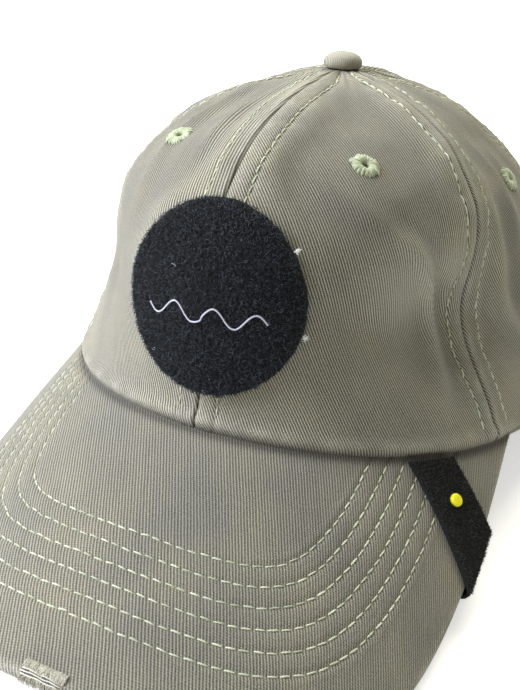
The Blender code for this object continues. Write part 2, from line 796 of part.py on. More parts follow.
def front_patch(material):
    """A slightly upright oval that follows the crown, with a small flat at its centre."""
    centre, right, up, normal = patch_frame()
    skins = []
    for lift in (PATCH_LIFT + PATCH_THICK, PATCH_LIFT):
        points = []
        for i in range(PATCH_SECTORS):
            turn = 2 * math.pi * i / PATCH_SECTORS
            out = math.cos(turn) * right + math.sin(turn) * up
            points.append(centre + PATCH_FLAT_RADIUS * out + lift * normal)
        for share in PATCH_RINGS:
            for i in range(PATCH_SECTORS):
                turn = 2 * math.pi * i / PATCH_SECTORS
                across = PATCH_HALF_WIDTH * share * math.cos(turn)
                up_by = PATCH_HALF_HEIGHT * share * math.sin(turn)
                points.append(on_patch(across, up_by, -lift))
        skins.append(points)
    cells = [tuple(range(PATCH_SECTORS))]
    for ring in range(len(PATCH_RINGS)):
        for i in range(PATCH_SECTORS):
            j = (i + 1) % PATCH_SECTORS
            a, b = ring * PATCH_SECTORS, (ring + 1) * PATCH_SECTORS
            cells.append((a + i, b + i, b + j, a + j))
    thick_sheet("front_patch", skins[0], skins[1], cells, material)


def patch_line(material):
    """A thin raised line in even waves, across the patch a little below its centre."""
    base = PATCH_LIFT + PATCH_THICK + LINE_GAP
    rate = math.pi * LINE_WAVES / LINE_HALF_LENGTH
    skins = [[], []]
    for i in range(LINE_STEPS + 1):
        x = LINE_HALF_LENGTH * (2 * i / LINE_STEPS - 1)
        point = Vector((x, LINE_SWING * math.sin(rate * x) - LINE_DROP))
        slope = LINE_SWING * rate * math.cos(rate * x)
        side = LINE_WIDTH / 2 * Vector((-slope, 1)).normalized()
        for skin, lift in zip(skins, (base + LINE_THICK, base)):
            for place in (point + side, point - side):
                skin.append(on_patch(place.x, place.y, -lift))
    cells = [(2 * i + 1, 2 * i + 3, 2 * i + 2, 2 * i) for i in range(LINE_STEPS)]
    thick_sheet("patch_ridge_line", skins[0], skins[1], cells, material)


# ---------------------------------------------------------------- strap and buckle


def hem_circle(angle, depth, height):
    """A point of the cylinder that the back hem lies on."""
    radius = HALF_WIDTH - depth
    return Vector((radius * math.sin(angle), EAR_LINE_Y - radius * math.cos(angle), height))


def adjusting_strap(material):
    skins = []
    for depth in (STRAP_DEPTH, STRAP_DEPTH + STRAP_THICK):
        points = []
        for height in (STRAP_BOTTOM, STRAP_TOP):
            for column in range(STRAP_COLUMNS + 1):
                angle = STRAP_START + (STRAP_END - STRAP_START) * column / STRAP_COLUMNS
                points.append(hem_circle(angle, depth, height))
        skins.append(points)
    strap = thick_sheet("rear_strap", skins[0], skins[1], grid_cells(STRAP_COLUMNS, 1), material)
    axis = Vector((0, EAR_LINE_Y, 0))
    strap.data.transform(Matrix.Translation(-axis))
    strap.location = axis
    return strap


def buckle_plan(along, out):
    """Plan position beside the buckle: along the hem towards +X, and out from its circle."""
    origin = hem_circle(BUCKLE_ANGLE, 0, 0)
    tangent = Vector((-math.cos(BUCKLE_ANGLE), -math.sin(BUCKLE_ANGLE)))
    outward = Vector((math.sin(BUCKLE_ANGLE), -math.cos(BUCKLE_ANGLE)))
    return Vector((origin.x, origin.y)) + along * tangent + out * outward


def round_outline(along, out, radius, steps=ROUND_STEPS):
    turns = [2 * math.pi * i / steps for i in range(steps)]
    return [buckle_plan(along + radius * math.cos(t), out + radius * math.sin(t)) for t in turns]


def buckle_frame(metal):
    """A folded channel round the strap, with a bar for the tab and holes for the pin."""
    low, high = BUCKLE_BOTTOM, BUCKLE_TOP
    back = PLATE_FACE - PLATE_THICK
    section = (
        (back, low),
        (back, high),
        (CHEEK_TOP, high),
        (CHEEK_TOP, high - PLATE_THICK),
        (PLATE_FACE, high - PLATE_THICK),
        (PLATE_FACE, low + PLATE_THICK),
        (CHEEK_TOP, low + PLATE_THICK),
        (CHEEK_TOP, low),
    )
    points = []
    for along in (-BUCKLE_HALF_LENGTH, BUCKLE_HALF_LENGTH):
        for out, height in section:
            plan = buckle_plan(along, out)
            points.append(Vector((plan.x, plan.y, height)))
    count = len(section)
    faces = [tuple(range(count)), tuple(reversed(range(count, 2 * count)))]
    for i in range(count):
        j = (i + 1) % count
        faces.append((j, i, i + count, j + count))
    frame = add_object("buckle_frame", points, faces, metal)
    overlap = 0.4 * MM
    bar = extruded(
        "buckle_bar_shape",
        round_outline(BAR_ALONG, BAR_OUT, BAR_RADIUS),
        low + PLATE_THICK - overlap,
        high - PLATE_THICK + overlap,
        metal,
    )
    cut_with(frame, bar, "UNION")
    hole = extruded(
        "buckle_pin_hole",
        round_outline(LEVER_ALONG, LEVER_OUT, PIN_RADIUS + PIN_CLEARANCE),
        low - 1 * MM,
        high + 1 * MM,
        metal,
    )
    cut_with(frame, hole)
    return hole


def lever_outline():
    """The lever in plan: a round boss at the pin, and a plate that lies over the frame."""
    points = []
    for i in range(ROUND_STEPS):
        turn = math.radians(100 + 230 * i / (ROUND_STEPS - 1))
        points.append((LEVER_ALONG + LEVER_BOSS * math.cos(turn), LEVER_OUT + LEVER_BOSS * math.sin(turn)))
    near = LEVER_ALONG + 1.9 * MM
    far = LEVER_ALONG + LEVER_LENGTH
    points += [
        (near, LEVER_FACE - 0.5 * MM),
        (near + 1 * MM, LEVER_FACE),
        (far - 1 * MM, LEVER_FACE),
        (far, LEVER_FACE + 0.3 * MM),
        (far, LEVER_FACE + LEVER_THICK + 0.3 * MM),
        (near, LEVER_FACE + LEVER_THICK),
        (LEVER_ALONG, LEVER_FACE + 0.6 * LEVER_THICK),
    ]
    return [buckle_plan(*point) for point in points]


def buckle_lever(metal, pin_hole):
    gap = 0.3 * MM
    low = BUCKLE_BOTTOM + PLATE_THICK + gap
    high = BUCKLE_TOP - PLATE_THICK - gap
    pivot = buckle_plan(LEVER_ALONG, LEVER_OUT)
    origin = Vector((pivot.x, pivot.y, 0))
    lever = extruded("buckle_lever", lever_outline(), low, high, metal, origin)
    cut_with(lever, pin_hole)
    pin = round_outline(LEVER_ALONG, LEVER_OUT, PIN_RADIUS)
    extruded("buckle_pin", pin, BUCKLE_BOTTOM + 0.1 * MM, BUCKLE_TOP - 0.1 * MM, metal)


def tab_path():
    """Middle line of the tab in plan: from under the panel, round the bar, and back on itself."""
    reach = BUCKLE_ANGLE - (BAR_ALONG + 1.5 * MM) / HALF_WIDTH
    inner_depth = -(BAR_OUT - TAB_LOOP_RADIUS)
    path = []
    for i in range(9):
        angle = TAB_REACH + (reach - TAB_REACH) * i / 8
        point = hem_circle(angle, inner_depth + 0.15 * MM, 0)
        path.append(Vector((point.x, point.y)))
    for i in range(11):
        turn = math.radians(-90 - 22 * i)
        along = BAR_ALONG + TAB_LOOP_RADIUS * math.cos(turn)
        path.append(buckle_plan(along, BAR_OUT + TAB_LOOP_RADIUS * math.sin(turn)))
    return path


def buckle_tab(material):
    path = tab_path()
    left, right = [], []
    for i, point in enumerate(path):
        along = (path[min(i + 1, len(path) - 1)] - path[max(i - 1, 0)]).normalized()
        side = Vector((-along.y, along.x)) * TAB_THICK / 2
        left.append(point + side)
        right.append(point - side)
    extruded("buckle_tab", right + list(reversed(left)), TAB_BOTTOM, TAB_TOP, material)


# ---------------------------------------------------------------- whole cap


def clear_scene():
    for item in list(bpy.data.objects):
        bpy.data.objects.remove(item)


def build_crown(twill, thread, tape, metal):
    spans = {
        "front": (0, FRONT_SEAM),
        "side": (FRONT_SEAM, BACK_SEAM),
        "back": (BACK_SEAM, math.pi),
    }
    for place, (near, far) in spans.items():
        for side, (first, last) in (("right", (near, far)), ("left", (-far, -near))):
            panel = crown_panel(f"crown_{place}_panel_{side}", first, last, twill)
            if place == "back":
                cut_with(panel, bpy.data.objects["arch_cutter"])
            vent_eyelet(f"vent_eyelet_{place}_{side}", first, last, thread)
    seam_tape("seam_tape_front", 0, 0, tape)
    seam_tape("seam_tape_back", math.pi, BACK_TAPE_START, tape)
    for side, sign in (("right", 1), ("left", -1)):
        seam_tape(f"seam_tape_front_{side}", sign * FRONT_SEAM, 0, tape)
        seam_tape(f"seam_tape_back_{side}", sign * BACK_SEAM, 0, tape)
    top_button(twill, metal)


def stand_on_floor(frame):
    """Tips the cap until the bill's lowest point and the back hem share a plane, Z = 0."""
    back_y = EAR_LINE_Y + HALF_WIDTH
    under = bpy.data.objects["bill_under_cover"].data.vertices
    tilt = max(math.atan2(-v.co.z, back_y - v.co.y) for v in under)
    frame.rotation_euler = (-tilt, 0, 0)
    bpy.context.view_layer.update()
    graph = bpy.context.evaluated_depsgraph_get()
    corners = []
    for piece in bpy.data.objects:
        if piece.type != "MESH" or piece.hide_render:
            continue
        mesh = piece.evaluated_get(graph).data
        corners += [piece.matrix_world @ v.co for v in mesh.vertices]
    low = [min(p[i] for p in corners) for i in range(3)]
    high = [max(p[i] for p in corners) for i in range(3)]
    frame.location = (-(low[0] + high[0]) / 2, -(low[1] + high[1]) / 2, -low[2])


def build_cap():
    clear_scene()
    frame = bpy.data.objects.new("cap_frame", None)
    bpy.context.scene.collection.objects.link(frame)
    twill = make_material("washed_twill", srgb(133, 130, 117), 0.95)
    thread = make_material("vent_thread", srgb(178, 187, 151), 0.8)
    tape = make_material("lining_twill", srgb(118, 116, 104), 0.95)
    band = make_material("sweatband_cotton", srgb(140, 136, 122), 0.95)
    pile = make_material("black_pile", srgb(36, 40, 44), 1.0)
    line = make_material("line_thread", srgb(190, 190, 205), 0.4)
    yellow = make_material("yellow_plastic", srgb(250, 236, 27), 0.5)
    board = make_material("bill_plastic", srgb(60, 60, 58), 0.6)
    brass = make_material("aged_brass", srgb(140, 112, 66), 0.4, 1.0)
    steel = make_material("button_steel", srgb(150, 150, 148), 0.4, 1.0)
    arch_cutter(twill)
    build_crown(twill, thread, tape, steel)
    sweatband(band)
    opening_binding(twill)
    bill_pieces(twill, board)
    pile_band(pile, yellow)
    front_patch(pile)
    patch_line(line)
    adjusting_strap(twill)
    pin_hole = buckle_frame(brass)
    buckle_lever(brass, pin_hole)
    buckle_tab(twill)
    stand_on_floor(frame)


build_cap()
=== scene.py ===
"""Baseball cap: the finished cloth, thread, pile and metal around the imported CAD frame.

Shapes are worked out in millimetres in the cap's own frame, then placed in the row frame. In the
cap's frame Z = 0 is the hem's plane, -Y is the front and +X is the right side of someone facing
the front. An angle of 0 is the front centre of the crown. A share runs up the crown from 0 at
the hem to 1 at the button. A lift is a distance outward from a surface.
"""

import json
import math

import bpy
import numpy as np
from mathutils import Matrix, Vector

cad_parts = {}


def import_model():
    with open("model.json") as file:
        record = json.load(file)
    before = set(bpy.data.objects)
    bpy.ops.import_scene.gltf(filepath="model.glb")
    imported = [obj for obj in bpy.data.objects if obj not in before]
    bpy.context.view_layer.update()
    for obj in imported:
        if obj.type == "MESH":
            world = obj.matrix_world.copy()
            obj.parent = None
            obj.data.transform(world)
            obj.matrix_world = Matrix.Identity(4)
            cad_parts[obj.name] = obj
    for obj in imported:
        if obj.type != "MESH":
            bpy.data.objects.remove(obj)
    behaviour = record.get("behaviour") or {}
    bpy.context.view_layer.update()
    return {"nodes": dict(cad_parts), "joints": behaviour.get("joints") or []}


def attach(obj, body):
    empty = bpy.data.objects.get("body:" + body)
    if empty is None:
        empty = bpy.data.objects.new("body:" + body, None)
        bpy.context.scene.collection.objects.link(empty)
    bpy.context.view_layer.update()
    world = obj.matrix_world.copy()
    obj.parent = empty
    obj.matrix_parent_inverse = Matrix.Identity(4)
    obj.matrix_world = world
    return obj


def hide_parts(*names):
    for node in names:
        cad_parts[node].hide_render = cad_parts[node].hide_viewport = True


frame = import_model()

MM = 0.001
PI = math.pi

# Dimensions in millimetres and radians, nearly all of them the CAD part's own
HALF_WIDTH, FRONT_REACH, EAR_LINE_Y = 86.1, 109.5, 16.8
CROWN_HEIGHT, APEX_Y, APEX_SAG, APEX_HOLE = 114.6, 3.0, 2.8, 4.5
CLOTH_RISE = 150.0  # roughly the length of the crown's cloth from the hem to the button
SIDE_FULLNESS, FRONT_FULLNESS, BACK_FULLNESS = 2.13, 3.06, 2.44
PANEL_PUFF, PUFF_CLIMB, PUFF_SPREAD = 0.006, 0.82, 0.55
HEM_PINCH, HEM_PINCH_RISE = 0.0256, 13.5
DENT_RIGHT, DENT_LEFT = 0.21, 0.101
DENT_ANGLE, DENT_SPREAD = math.radians(53.8), math.radians(26.9)
DENT_HEIGHT, DENT_TALL, DENT_HOLD = 0.385, 0.245, 0.12
FRONT_SEAM = math.radians(60.3)
BACK_SEAM = (FRONT_SEAM + PI) / 2
SEAMS = (0.0, FRONT_SEAM, BACK_SEAM, PI, -BACK_SEAM, -FRONT_SEAM)
VENT_SHARE = 7 / 12
BILL_BEND, BILL_PITCH = 105.0, math.radians(20.2)
BILL_LENGTH, BILL_THICK = 72.7, 4.1
BILL_CORNER, BILL_CORNER_HEIGHT = math.radians(65.0), 15.6
BILL_SIDE_FLARE, BILL_SIDE_PULL, BILL_FRONT_PULL = math.radians(5.9), 76.4, 88.3
HEM_GAP, HEM_EASE = 0.8, math.radians(35)
PATCH_HALF_WIDTH, PATCH_HALF_HEIGHT = 24.8, 26.4
PATCH_ANGLE, PATCH_CLIMB, PATCH_RISE = math.radians(1.2), 0.282, 40.0
PATCH_BASE, PATCH_TOP = 0.4, 2.4
LINE_HALF_LENGTH, LINE_SWING, LINE_WAVES, LINE_DROP = 16.0, 2.2, 3, 3.0
BAND_SEAM_ANGLES = (math.radians(48.3), math.radians(39.2))
BAND_EDGE_SHARES = (0.075, 0.124)
BAND_EDGE_MIDDLE = sum(BAND_EDGE_SHARES) / 2
DOT_BLEND, DOT_LIFT = 0.44, 1.9
ARCH_HALF_WIDTH, ARCH_HEIGHT, BIND_ROW = 40.0, 46.0, 3.8
STRAP_DEPTH, STRAP_THICK = 3.8, 0.9
STRAP_LOW, STRAP_HIGH, STRAP_ROW = 4.0, 20.0, 2.1
STRAP_START, STRAP_END = math.radians(139), math.radians(222.5)
BUCKLE_ANGLE, BAR_ALONG, BAR_OUT = math.radians(167), 5.4, -1.5
TAB_LOOP, TAB_THICK, TAB_REACH = 1.5, 0.7, math.radians(144)
TAB_LOW, TAB_HIGH = 5.0, 19.0
SWEAT_END = math.radians(140)

# Cloth simulation of the crown: its grid and frames, then slack as a share of length, the most
# movement in millimetres, and rounds of smoothing
SIM_COLUMNS, SIM_ROWS, SIM_FRAMES = 216, 72, 22
SIM_SLACK, SIM_REACH, SIM_SMOOTHING = 0.02, 2.4, 5

# Sewing
STITCH_PITCH, STITCH_COVER, THREAD, PILE_LEAN = 3.3, 0.98, 0.25, 0.75
TWILL_PITCH, BEAD_PITCH = 0.81, 0.6
CROWN_LEAN, BILL_LEAN, TRIM_LEAN = math.radians(24), math.radians(30), math.radians(35)
TOPSTITCH = 5.8
ROW_COUNT, ROW_FIRST, ROW_STEP, ROW_SWING = 6, 16.3, 4.76, 2.4
TORN_MIDDLE, TORN_HALF, TORN_DEEP, TORN_SUNK = 1.6, 5.8, 3.9, 0.4
CORDS, CUT_ENDS, FRINGE = ((0.7, 5.3), (1.3, 5.8), (1.9, 5.6)), 330, 130  # cords: inset, half length
BAND_FIBRES, PATCH_FIBRES = 5200, 15000


# ---------------------------------------------------------------- small numeric helpers


def smooth_step(value):
    value = np.clip(value, 0, 1)
    return value * value * (3 - 2 * value)


def bell(value, width):
    return np.exp(-((value / width) ** 2))


def unit(vectors):
    return vectors / np.maximum(np.linalg.norm(vectors, axis=-1, keepdims=True), 1e-12)


def stack(*parts):
    """Coordinates joined along a new last axis."""
    return np.stack(np.broadcast_arrays(*parts), -1)


def lifted(point, normal, height):
    return point + np.asarray(height)[..., None] * normal


def grid(rows, columns):
    return np.meshgrid(rows, columns, indexing="ij")


def turns(count):
    return 2 * PI * np.arange(count) / count


def run_along(line):
    """The distance run at each point of a line."""
    return np.concatenate([[0], np.cumsum(np.linalg.norm(np.diff(line, axis=0), axis=1))])


TURNED_OVER = [0, 3, 2, 1]  # a quad's corners in the other order, from the same first corner


def grid_faces(rows, columns, loop=False, closed=False):
    """Quads over a grid of points. Loop joins the last column to the first, closed does it for rows."""
    r, c = grid(np.arange(rows if closed else rows - 1), np.arange(columns if loop else columns - 1))
    here, above, ahead = r * columns, (r + 1) % rows * columns, (c + 1) % columns
    return stack(here + c, here + ahead, above + ahead, above + c).reshape(-1, 4)


def noise_line(x, seed):
    """Smooth noise from -1 to 1 along a line, one feature per unit."""
    table = np.random.default_rng(seed).uniform(-1, 1, 1024)
    x = np.asarray(x, float)
    cell = np.floor(x).astype(int)
    part = smooth_step(x - cell)
    return table[cell % 1024] * (1 - part) + table[(cell + 1) % 1024] * part


def noise_plane(x, y, seed):
    """Smooth noise from -1 to 1 over a plane, one feature per unit."""
    table = np.random.default_rng(seed).uniform(-1, 1, (256, 256))
    x, y = np.broadcast_arrays(np.asarray(x, float), np.asarray(y, float))
    i, j = np.floor(x).astype(int), np.floor(y).astype(int)
    u, v = smooth_step(x - i), smooth_step(y - j)
    i, j, k, m = i % 256, j % 256, (i + 1) % 256, (j + 1) % 256
    low = table[i, j] * (1 - u) + table[k, j] * u
    high = table[i, m] * (1 - u) + table[k, m] * u
    return low * (1 - v) + high * v


def add_object(name, data):
    made = bpy.data.objects.new(name, data)
    bpy.context.scene.collection.objects.link(made)
    return made


# ---------------------------------------------------------------- crown surface


def opening(angle):
    reach = np.where(np.cos(angle) > 0, FRONT_REACH, HALF_WIDTH)
    return HALF_WIDTH * np.sin(angle), EAR_LINE_Y - reach * np.cos(angle)


def bend_drop(x):
    return BILL_BEND - np.sqrt(BILL_BEND**2 - x * x)


def bill_height(x, y):
    corner_x, corner_y = opening(BILL_CORNER)
    crest = BILL_CORNER_HEIGHT + bend_drop(corner_x)
    return crest - bend_drop(x) + math.tan(BILL_PITCH) * (y - corner_y)


def from_front(angle):
    return np.abs(np.arctan2(np.sin(angle), np.cos(angle)))


def hem_height(angle):
    turn = from_front(angle)
    front = bill_height(*opening(angle)) + HEM_GAP
    eased = 1 - smooth_step((turn - BILL_CORNER) / HEM_EASE)
    return np.where(turn <= BILL_CORNER, front, (BILL_CORNER_HEIGHT + HEM_GAP) * eased)


def fullness(angle):
    forward = np.cos(angle)
    target = np.where(forward > 0, FRONT_FULLNESS, BACK_FULLNESS)
    return SIDE_FULLNESS + (target - SIDE_FULLNESS) * forward * forward


def panel_share(angle):
    turn = from_front(angle)
    side = (PI - FRONT_SEAM) / 2
    return np.where(turn < FRONT_SEAM, turn / FRONT_SEAM, ((turn - FRONT_SEAM) % side) / side)


def smooth_crown(angle, climb):
    """The crown's outer surface as the CAD has it. Climb is 0 at the hem and pi / 2 on top."""
    angle, climb = np.broadcast_arrays(np.asarray(angle, float), np.asarray(climb, float))
    power = 2 / fullness(angle)
    inward = np.maximum(np.cos(climb), 0) ** power
    rise = np.maximum(np.sin(climb), 0) ** power
    puff = np.sin(PI * panel_share(angle)) * bell(climb - PUFF_CLIMB, PUFF_SPREAD)
    pinch = rise * CROWN_HEIGHT / HEM_PINCH_RISE
    pinch = HEM_PINCH * pinch * np.exp(1 - pinch) * np.clip(1.5 * np.cos(angle) + 0.5, 0, 1)
    depth = np.where(np.sin(angle) > 0, DENT_RIGHT, DENT_LEFT) * (1 - bell(rise, DENT_HOLD))
    dent = depth * bell(rise - DENT_HEIGHT, DENT_TALL)
    dent = dent * bell(from_front(angle) - DENT_ANGLE, DENT_SPREAD)
    spread = inward * (1 + PANEL_PUFF * puff) - dent - pinch
    x, y = opening(angle)
    z = hem_height(angle) * (1 - rise) + CROWN_HEIGHT * rise
    z = z - APEX_SAG * 4 * (1 - spread) * spread
    return stack(spread * x, APEX_Y + spread * (y - APEX_Y), z)


def smooth_normal(angle, climb):
    step = 0.004
    climb = np.clip(climb, step, PI / 2 - 2 * step)
    across = smooth_crown(angle + step, climb) - smooth_crown(angle - step, climb)
    up = smooth_crown(angle, climb + step) - smooth_crown(angle, climb - step)
    return unit(np.cross(across, up))


def under_smooth_crown(angle, climb, depth):
    return lifted(smooth_crown(angle, climb), smooth_normal(angle, climb), -np.asarray(depth))


def climb_for_rise(angle, height):
    rise = height / (CROWN_HEIGHT - hem_height(angle))
    return np.arcsin(np.clip(rise, 1e-7, 1) ** (fullness(angle) / 2))


def cubic_weights(part):
    """Catmull-Rom weights of the four samples round a place."""
    p2, p3 = part * part, part**3
    return (
        -0.5 * p3 + p2 - 0.5 * part,
        1.5 * p3 - 2.5 * p2 + 1,
        -1.5 * p3 + 2 * p2 + 0.5 * part,
        0.5 * p3 - 0.5 * p2,
    )


def read_table(table, angle, share):
    """Smooth reading of a table over angle, which wraps round, and share from 0 to 1."""
    columns, rows = table.shape[:2]
    low = 2 * table[:, :1] - table[:, 1:2]
    high = 2 * table[:, -1:] - table[:, -2:-1]
    padded = np.concatenate([low, table, high], axis=1)
    angle, share = np.broadcast_arrays(np.asarray(angle, float), np.asarray(share, float))
    a = (angle + PI) / (2 * PI) * columns
    s = np.clip(share, 0, 1) * (rows - 1)
    i = np.floor(a).astype(int)
    j = np.minimum(np.floor(s).astype(int), rows - 2)
    across, up = cubic_weights(a - i), cubic_weights(s - j)
    total = 0
    for m in range(4):
        for n in range(4):
            sample = padded[(i + m - 1) % columns, j + n]
            total = total + (across[m] * up[n])[..., None] * sample
    return total


class Crown:
    """The crown as a table over angle and share, read smoothly between its points."""

    ANGLES, SHARES = 480, 150

    def __init__(self):
        angles = np.linspace(-PI, PI, self.ANGLES, endpoint=False)
        shares = np.linspace(0, 1, self.SHARES)
        points = np.empty((self.ANGLES, self.SHARES, 3))
        for i, angle in enumerate(angles):
            top = math.acos((APEX_HOLE / HALF_WIDTH) ** (float(fullness(angle)) / 2))
            climbs = top * np.linspace(0, 1, 240) ** 1.5
            line = smooth_crown(angle, climbs)
            run = run_along(line)
            points[i] = smooth_crown(angle, np.interp(shares * run[-1], run, climbs))
        self.points = self.smooth = points
        self.raised = np.zeros((self.ANGLES, self.SHARES, 1))
        self.grid = grid(angles, shares)

    def at(self, angle, share):
        return read_table(self.points, angle, share)

    def raise_by(self, moved):
        """Move the table's points out by this many millimetres, and remember how far."""
        _, normal, _ = self.frame(*self.grid)
        self.points = lifted(self.points, normal, moved)
        self.raised = self.raised + moved[..., None]

    def frame(self, angle, share):
        """Point, outward normal, and the smooth shape's millimetres per radian round the crown."""
        step, rise = 0.006, 0.004
        share = np.asarray(share, float)
        across = (self.at(angle + step, share) - self.at(angle - step, share)) / (2 * step)
        low, high = np.maximum(share - rise, 0), np.minimum(share + rise, 1)
        up = self.at(angle, high) - self.at(angle, low)
        ahead, behind = (read_table(self.smooth, angle + turn, share) for turn in (step, -step))
        around = np.linalg.norm(ahead - behind, axis=-1) / (2 * step)
        return self.at(angle, share), unit(np.cross(across, up)), around

    def settle(self, measure, target, angle, share):
        """Newton's method on arrays: the places where measure(point) equals target."""
        step = 1e-3
        for _ in range(14):
            here = measure(self.at(angle, share))
            by_angle = (measure(self.at(angle + step, share)) - here) / step
            by_share = (measure(self.at(angle, share + step)) - here) / step
            miss = target - here
            scale = by_angle[..., 0] * by_share[..., 1] - by_share[..., 0] * by_angle[..., 1]
            turn = miss[..., 0] * by_share[..., 1] - by_share[..., 0] * miss[..., 1]
            rise = by_angle[..., 0] * miss[..., 1] - miss[..., 0] * by_angle[..., 1]
            angle = angle + np.clip(turn / scale, -0.2, 0.2)
            share = np.clip(share + np.clip(rise / scale, -0.1, 0.1), 0.0, 0.98)
        return angle, share


crown = Crown()


SHARE_PER_RADIAN = 0.6  # brings a turn round the crown to the same scale as a share up it


def soften_crown():
    """Slack and folds of washed cloth, fading out at the hem and at the button."""
    angle, share = crown.grid
    free = smooth_step(share / 0.12) * smooth_step((1 - share) / 0.05)
    slack = 0.55 * noise_plane(angle * 3.2 + 40, share * 5.0, 11)
    slack += 0.28 * noise_plane(angle * 7.5 + 60, share * 10 + 2.0 * np.sin(angle * 2), 12)
    slack += 0.4 * noise_line(angle * 12 + 50, 13) * bell(1 - share, 0.16)
    # Each fold: angle and share of its middle, lean in radians, half length and half width as
    # shares, height in millimetres, and bow
    folds = (
        (0.93, 0.62, 0.9, 0.30, 0.035, 0.6, 0.25),
        (0.84, 0.30, -0.39, 0.17, 0.026, 2.1, 1.9),
        (0.80, 0.475, 0.9, 0.05, 0.05, -1.4, 0.0),
        (1.22, 0.41, -0.22, 0.14, 0.03, 1.5, 0.0),
        (1.40, 0.57, 0.0, 0.13, 0.035, 1.3, 0.0),
        (1.30, 0.24, -0.8, 0.25, 0.035, 0.7, 0.25),
        (-0.30, 0.66, -0.25, 0.16, 0.03, 1.3, 0.3),
        (-0.62, 0.62, -0.5, 0.20, 0.035, 1.2, 0.4),
        (-0.85, 0.30, -0.6, 0.25, 0.035, 1.0, 0.25),
        (-1.25, 0.50, 0.5, 0.30, 0.045, 1.3, 0.25),
        (2.05, 0.40, 0.6, 0.35, 0.05, 1.5, 0.25),
        (-2.15, 0.45, -0.5, 0.35, 0.05, 1.5, 0.25),
        (2.75, 0.62, 0.2, 0.30, 0.04, 1.0, 0.25),
    )
    moved = free * slack
    for at_angle, at_share, lean, long, wide, height, bow in folds:
        x, y = (angle - at_angle) * SHARE_PER_RADIAN, share - at_share
        along = x * math.sin(lean) + y * math.cos(lean)
        across = x * math.cos(lean) - y * math.sin(lean) + bow * along * along
        ridge = bell(across, wide) - 0.55 * bell(across - 1.9 * wide, wide)
        moved = moved + free * height * bell(along, long) * ridge
    crown.raise_by(moved)


def seam_distance(angle, around):
    """Millimetres to the nearest crown seam, and that seam's number."""
    gaps = np.stack([from_front(angle - seam) for seam in SEAMS])
    return gaps.min(axis=0) * around, gaps.argmin(axis=0)


def topstitch_offset(around):
    """The stitch lines keep their distance from the seam until the panels get narrow."""
    return np.minimum(TOPSTITCH, 0.3 * around)


def held_cloth(angle, share, around):
    """1 at the seams, hem, button, opening and patch, 0 where the crown's cloth is free to move."""
    away, _ = seam_distance(angle, around)
    off_seam = smooth_step((away - topstitch_offset(around)) / 7)
    off_hem = smooth_step((share - 0.10) / 0.14)
    off_button = smooth_step((0.96 - share) / 0.10)
    arch = 1 - smooth_step((from_front(angle) - 2.45) / 0.2) * smooth_step((0.52 - share) / 0.1)
    across = (angle - PATCH_ANGLE) * around / (PATCH_HALF_WIDTH + 2)
    rise = (share * CLOTH_RISE - PATCH_RISE) / (PATCH_HALF_HEIGHT + 2)
    off_patch = smooth_step((np.hypot(across, rise) - 1) / 0.25)
    return 1 - off_seam * off_hem * off_button * arch * off_patch


def simulate_crown():
    """Cloth simulation of slightly slack panels, held where held_cloth says."""
    angles = np.linspace(-PI, PI, SIM_COLUMNS, endpoint=False)
    angle, share = grid(angles, np.linspace(0, 1, SIM_ROWS))
    point, normal, around = crown.frame(angle, share)
    faces = grid_faces(SIM_COLUMNS, SIM_ROWS, closed=True)[:, TURNED_OVER]
    mesh = bpy.data.meshes.new("crown_slack")
    mesh.from_pydata((point.reshape(-1, 3) * MM).tolist(), [], faces.tolist())
    cloth_object = add_object("crown_slack", mesh)
    group = cloth_object.vertex_groups.new(name="held")
    for index, weight in enumerate(held_cloth(angle, share, around).ravel()):
        group.add([index], float(weight), "REPLACE")
    modifier = cloth_object.modifiers.new("cloth", "CLOTH")
    settings = dict(
        quality=6, mass=0.15, tension_stiffness=12, compression_stiffness=12, shear_stiffness=5,
        bending_stiffness=0.08, shrink_min=-SIM_SLACK, vertex_group_mass="held", pin_stiffness=5,
    )
    for key, value in settings.items():
        setattr(modifier.settings, key, value)
    modifier.settings.effector_weights.gravity = 0.25
    modifier.collision_settings.use_collision = False
    modifier.collision_settings.use_self_collision = False
    modifier.point_cache.frame_start, modifier.point_cache.frame_end = 1, SIM_FRAMES
    for step in range(1, SIM_FRAMES + 1):
        bpy.context.scene.frame_set(step)
    settled = cloth_object.evaluated_get(bpy.context.evaluated_depsgraph_get()).data
    places = np.empty(len(settled.vertices) * 3)
    settled.vertices.foreach_get("co", places)
    moved = ((places.reshape(point.shape) / MM - point) * normal).sum(-1)
    bpy.data.objects.remove(cloth_object)
    bpy.data.meshes.remove(mesh)
    bpy.context.scene.frame_set(1)
    for _ in range(SIM_SMOOTHING):
        moved = moved + 0.25 * (np.roll(moved, 1, 0) + np.roll(moved, -1, 0) - 2 * moved)
        moved[:, 1:-1] += 0.25 * (moved[:, 2:] + moved[:, :-2] - 2 * moved[:, 1:-1])
    moved = SIM_REACH * np.tanh(moved / SIM_REACH)
    crown.raise_by(read_table(moved[..., None], *crown.grid)[..., 0])


soften_crown()
simulate_crown()


SEAM_SHIFT = 311  # reads the pucker noise in another place for each seam


def seam_relief(angle, share, around):
    """How far the sewn cloth stands off the crown: grooves, felled seams, puckers and the hem."""
    away, seam = seam_distance(angle, around)
    line = topstitch_offset(around)
    height = share * CLOTH_RISE
    groove, felled = -0.55 * bell(away, 0.55), 0.3 * smooth_step((line + 0.9 - away) / 1.6)
    relief = groove + felled - 0.34 * bell(away - line, 0.6)
    run = height + seam * SEAM_SHIFT
    pucker = noise_line(run / 4.3, 21) + 0.6 * noise_line(run / 2.4, 22)
    relief = relief + 0.30 * pucker * bell(away - line, 3.6) * smooth_step(away / 1.5)
    relief = relief + 1.3 * bell(height - 3.0, 2.4) - 1.2 * bell(height, 1.0)
    return relief * smooth_step((1.001 - share) / 0.01)


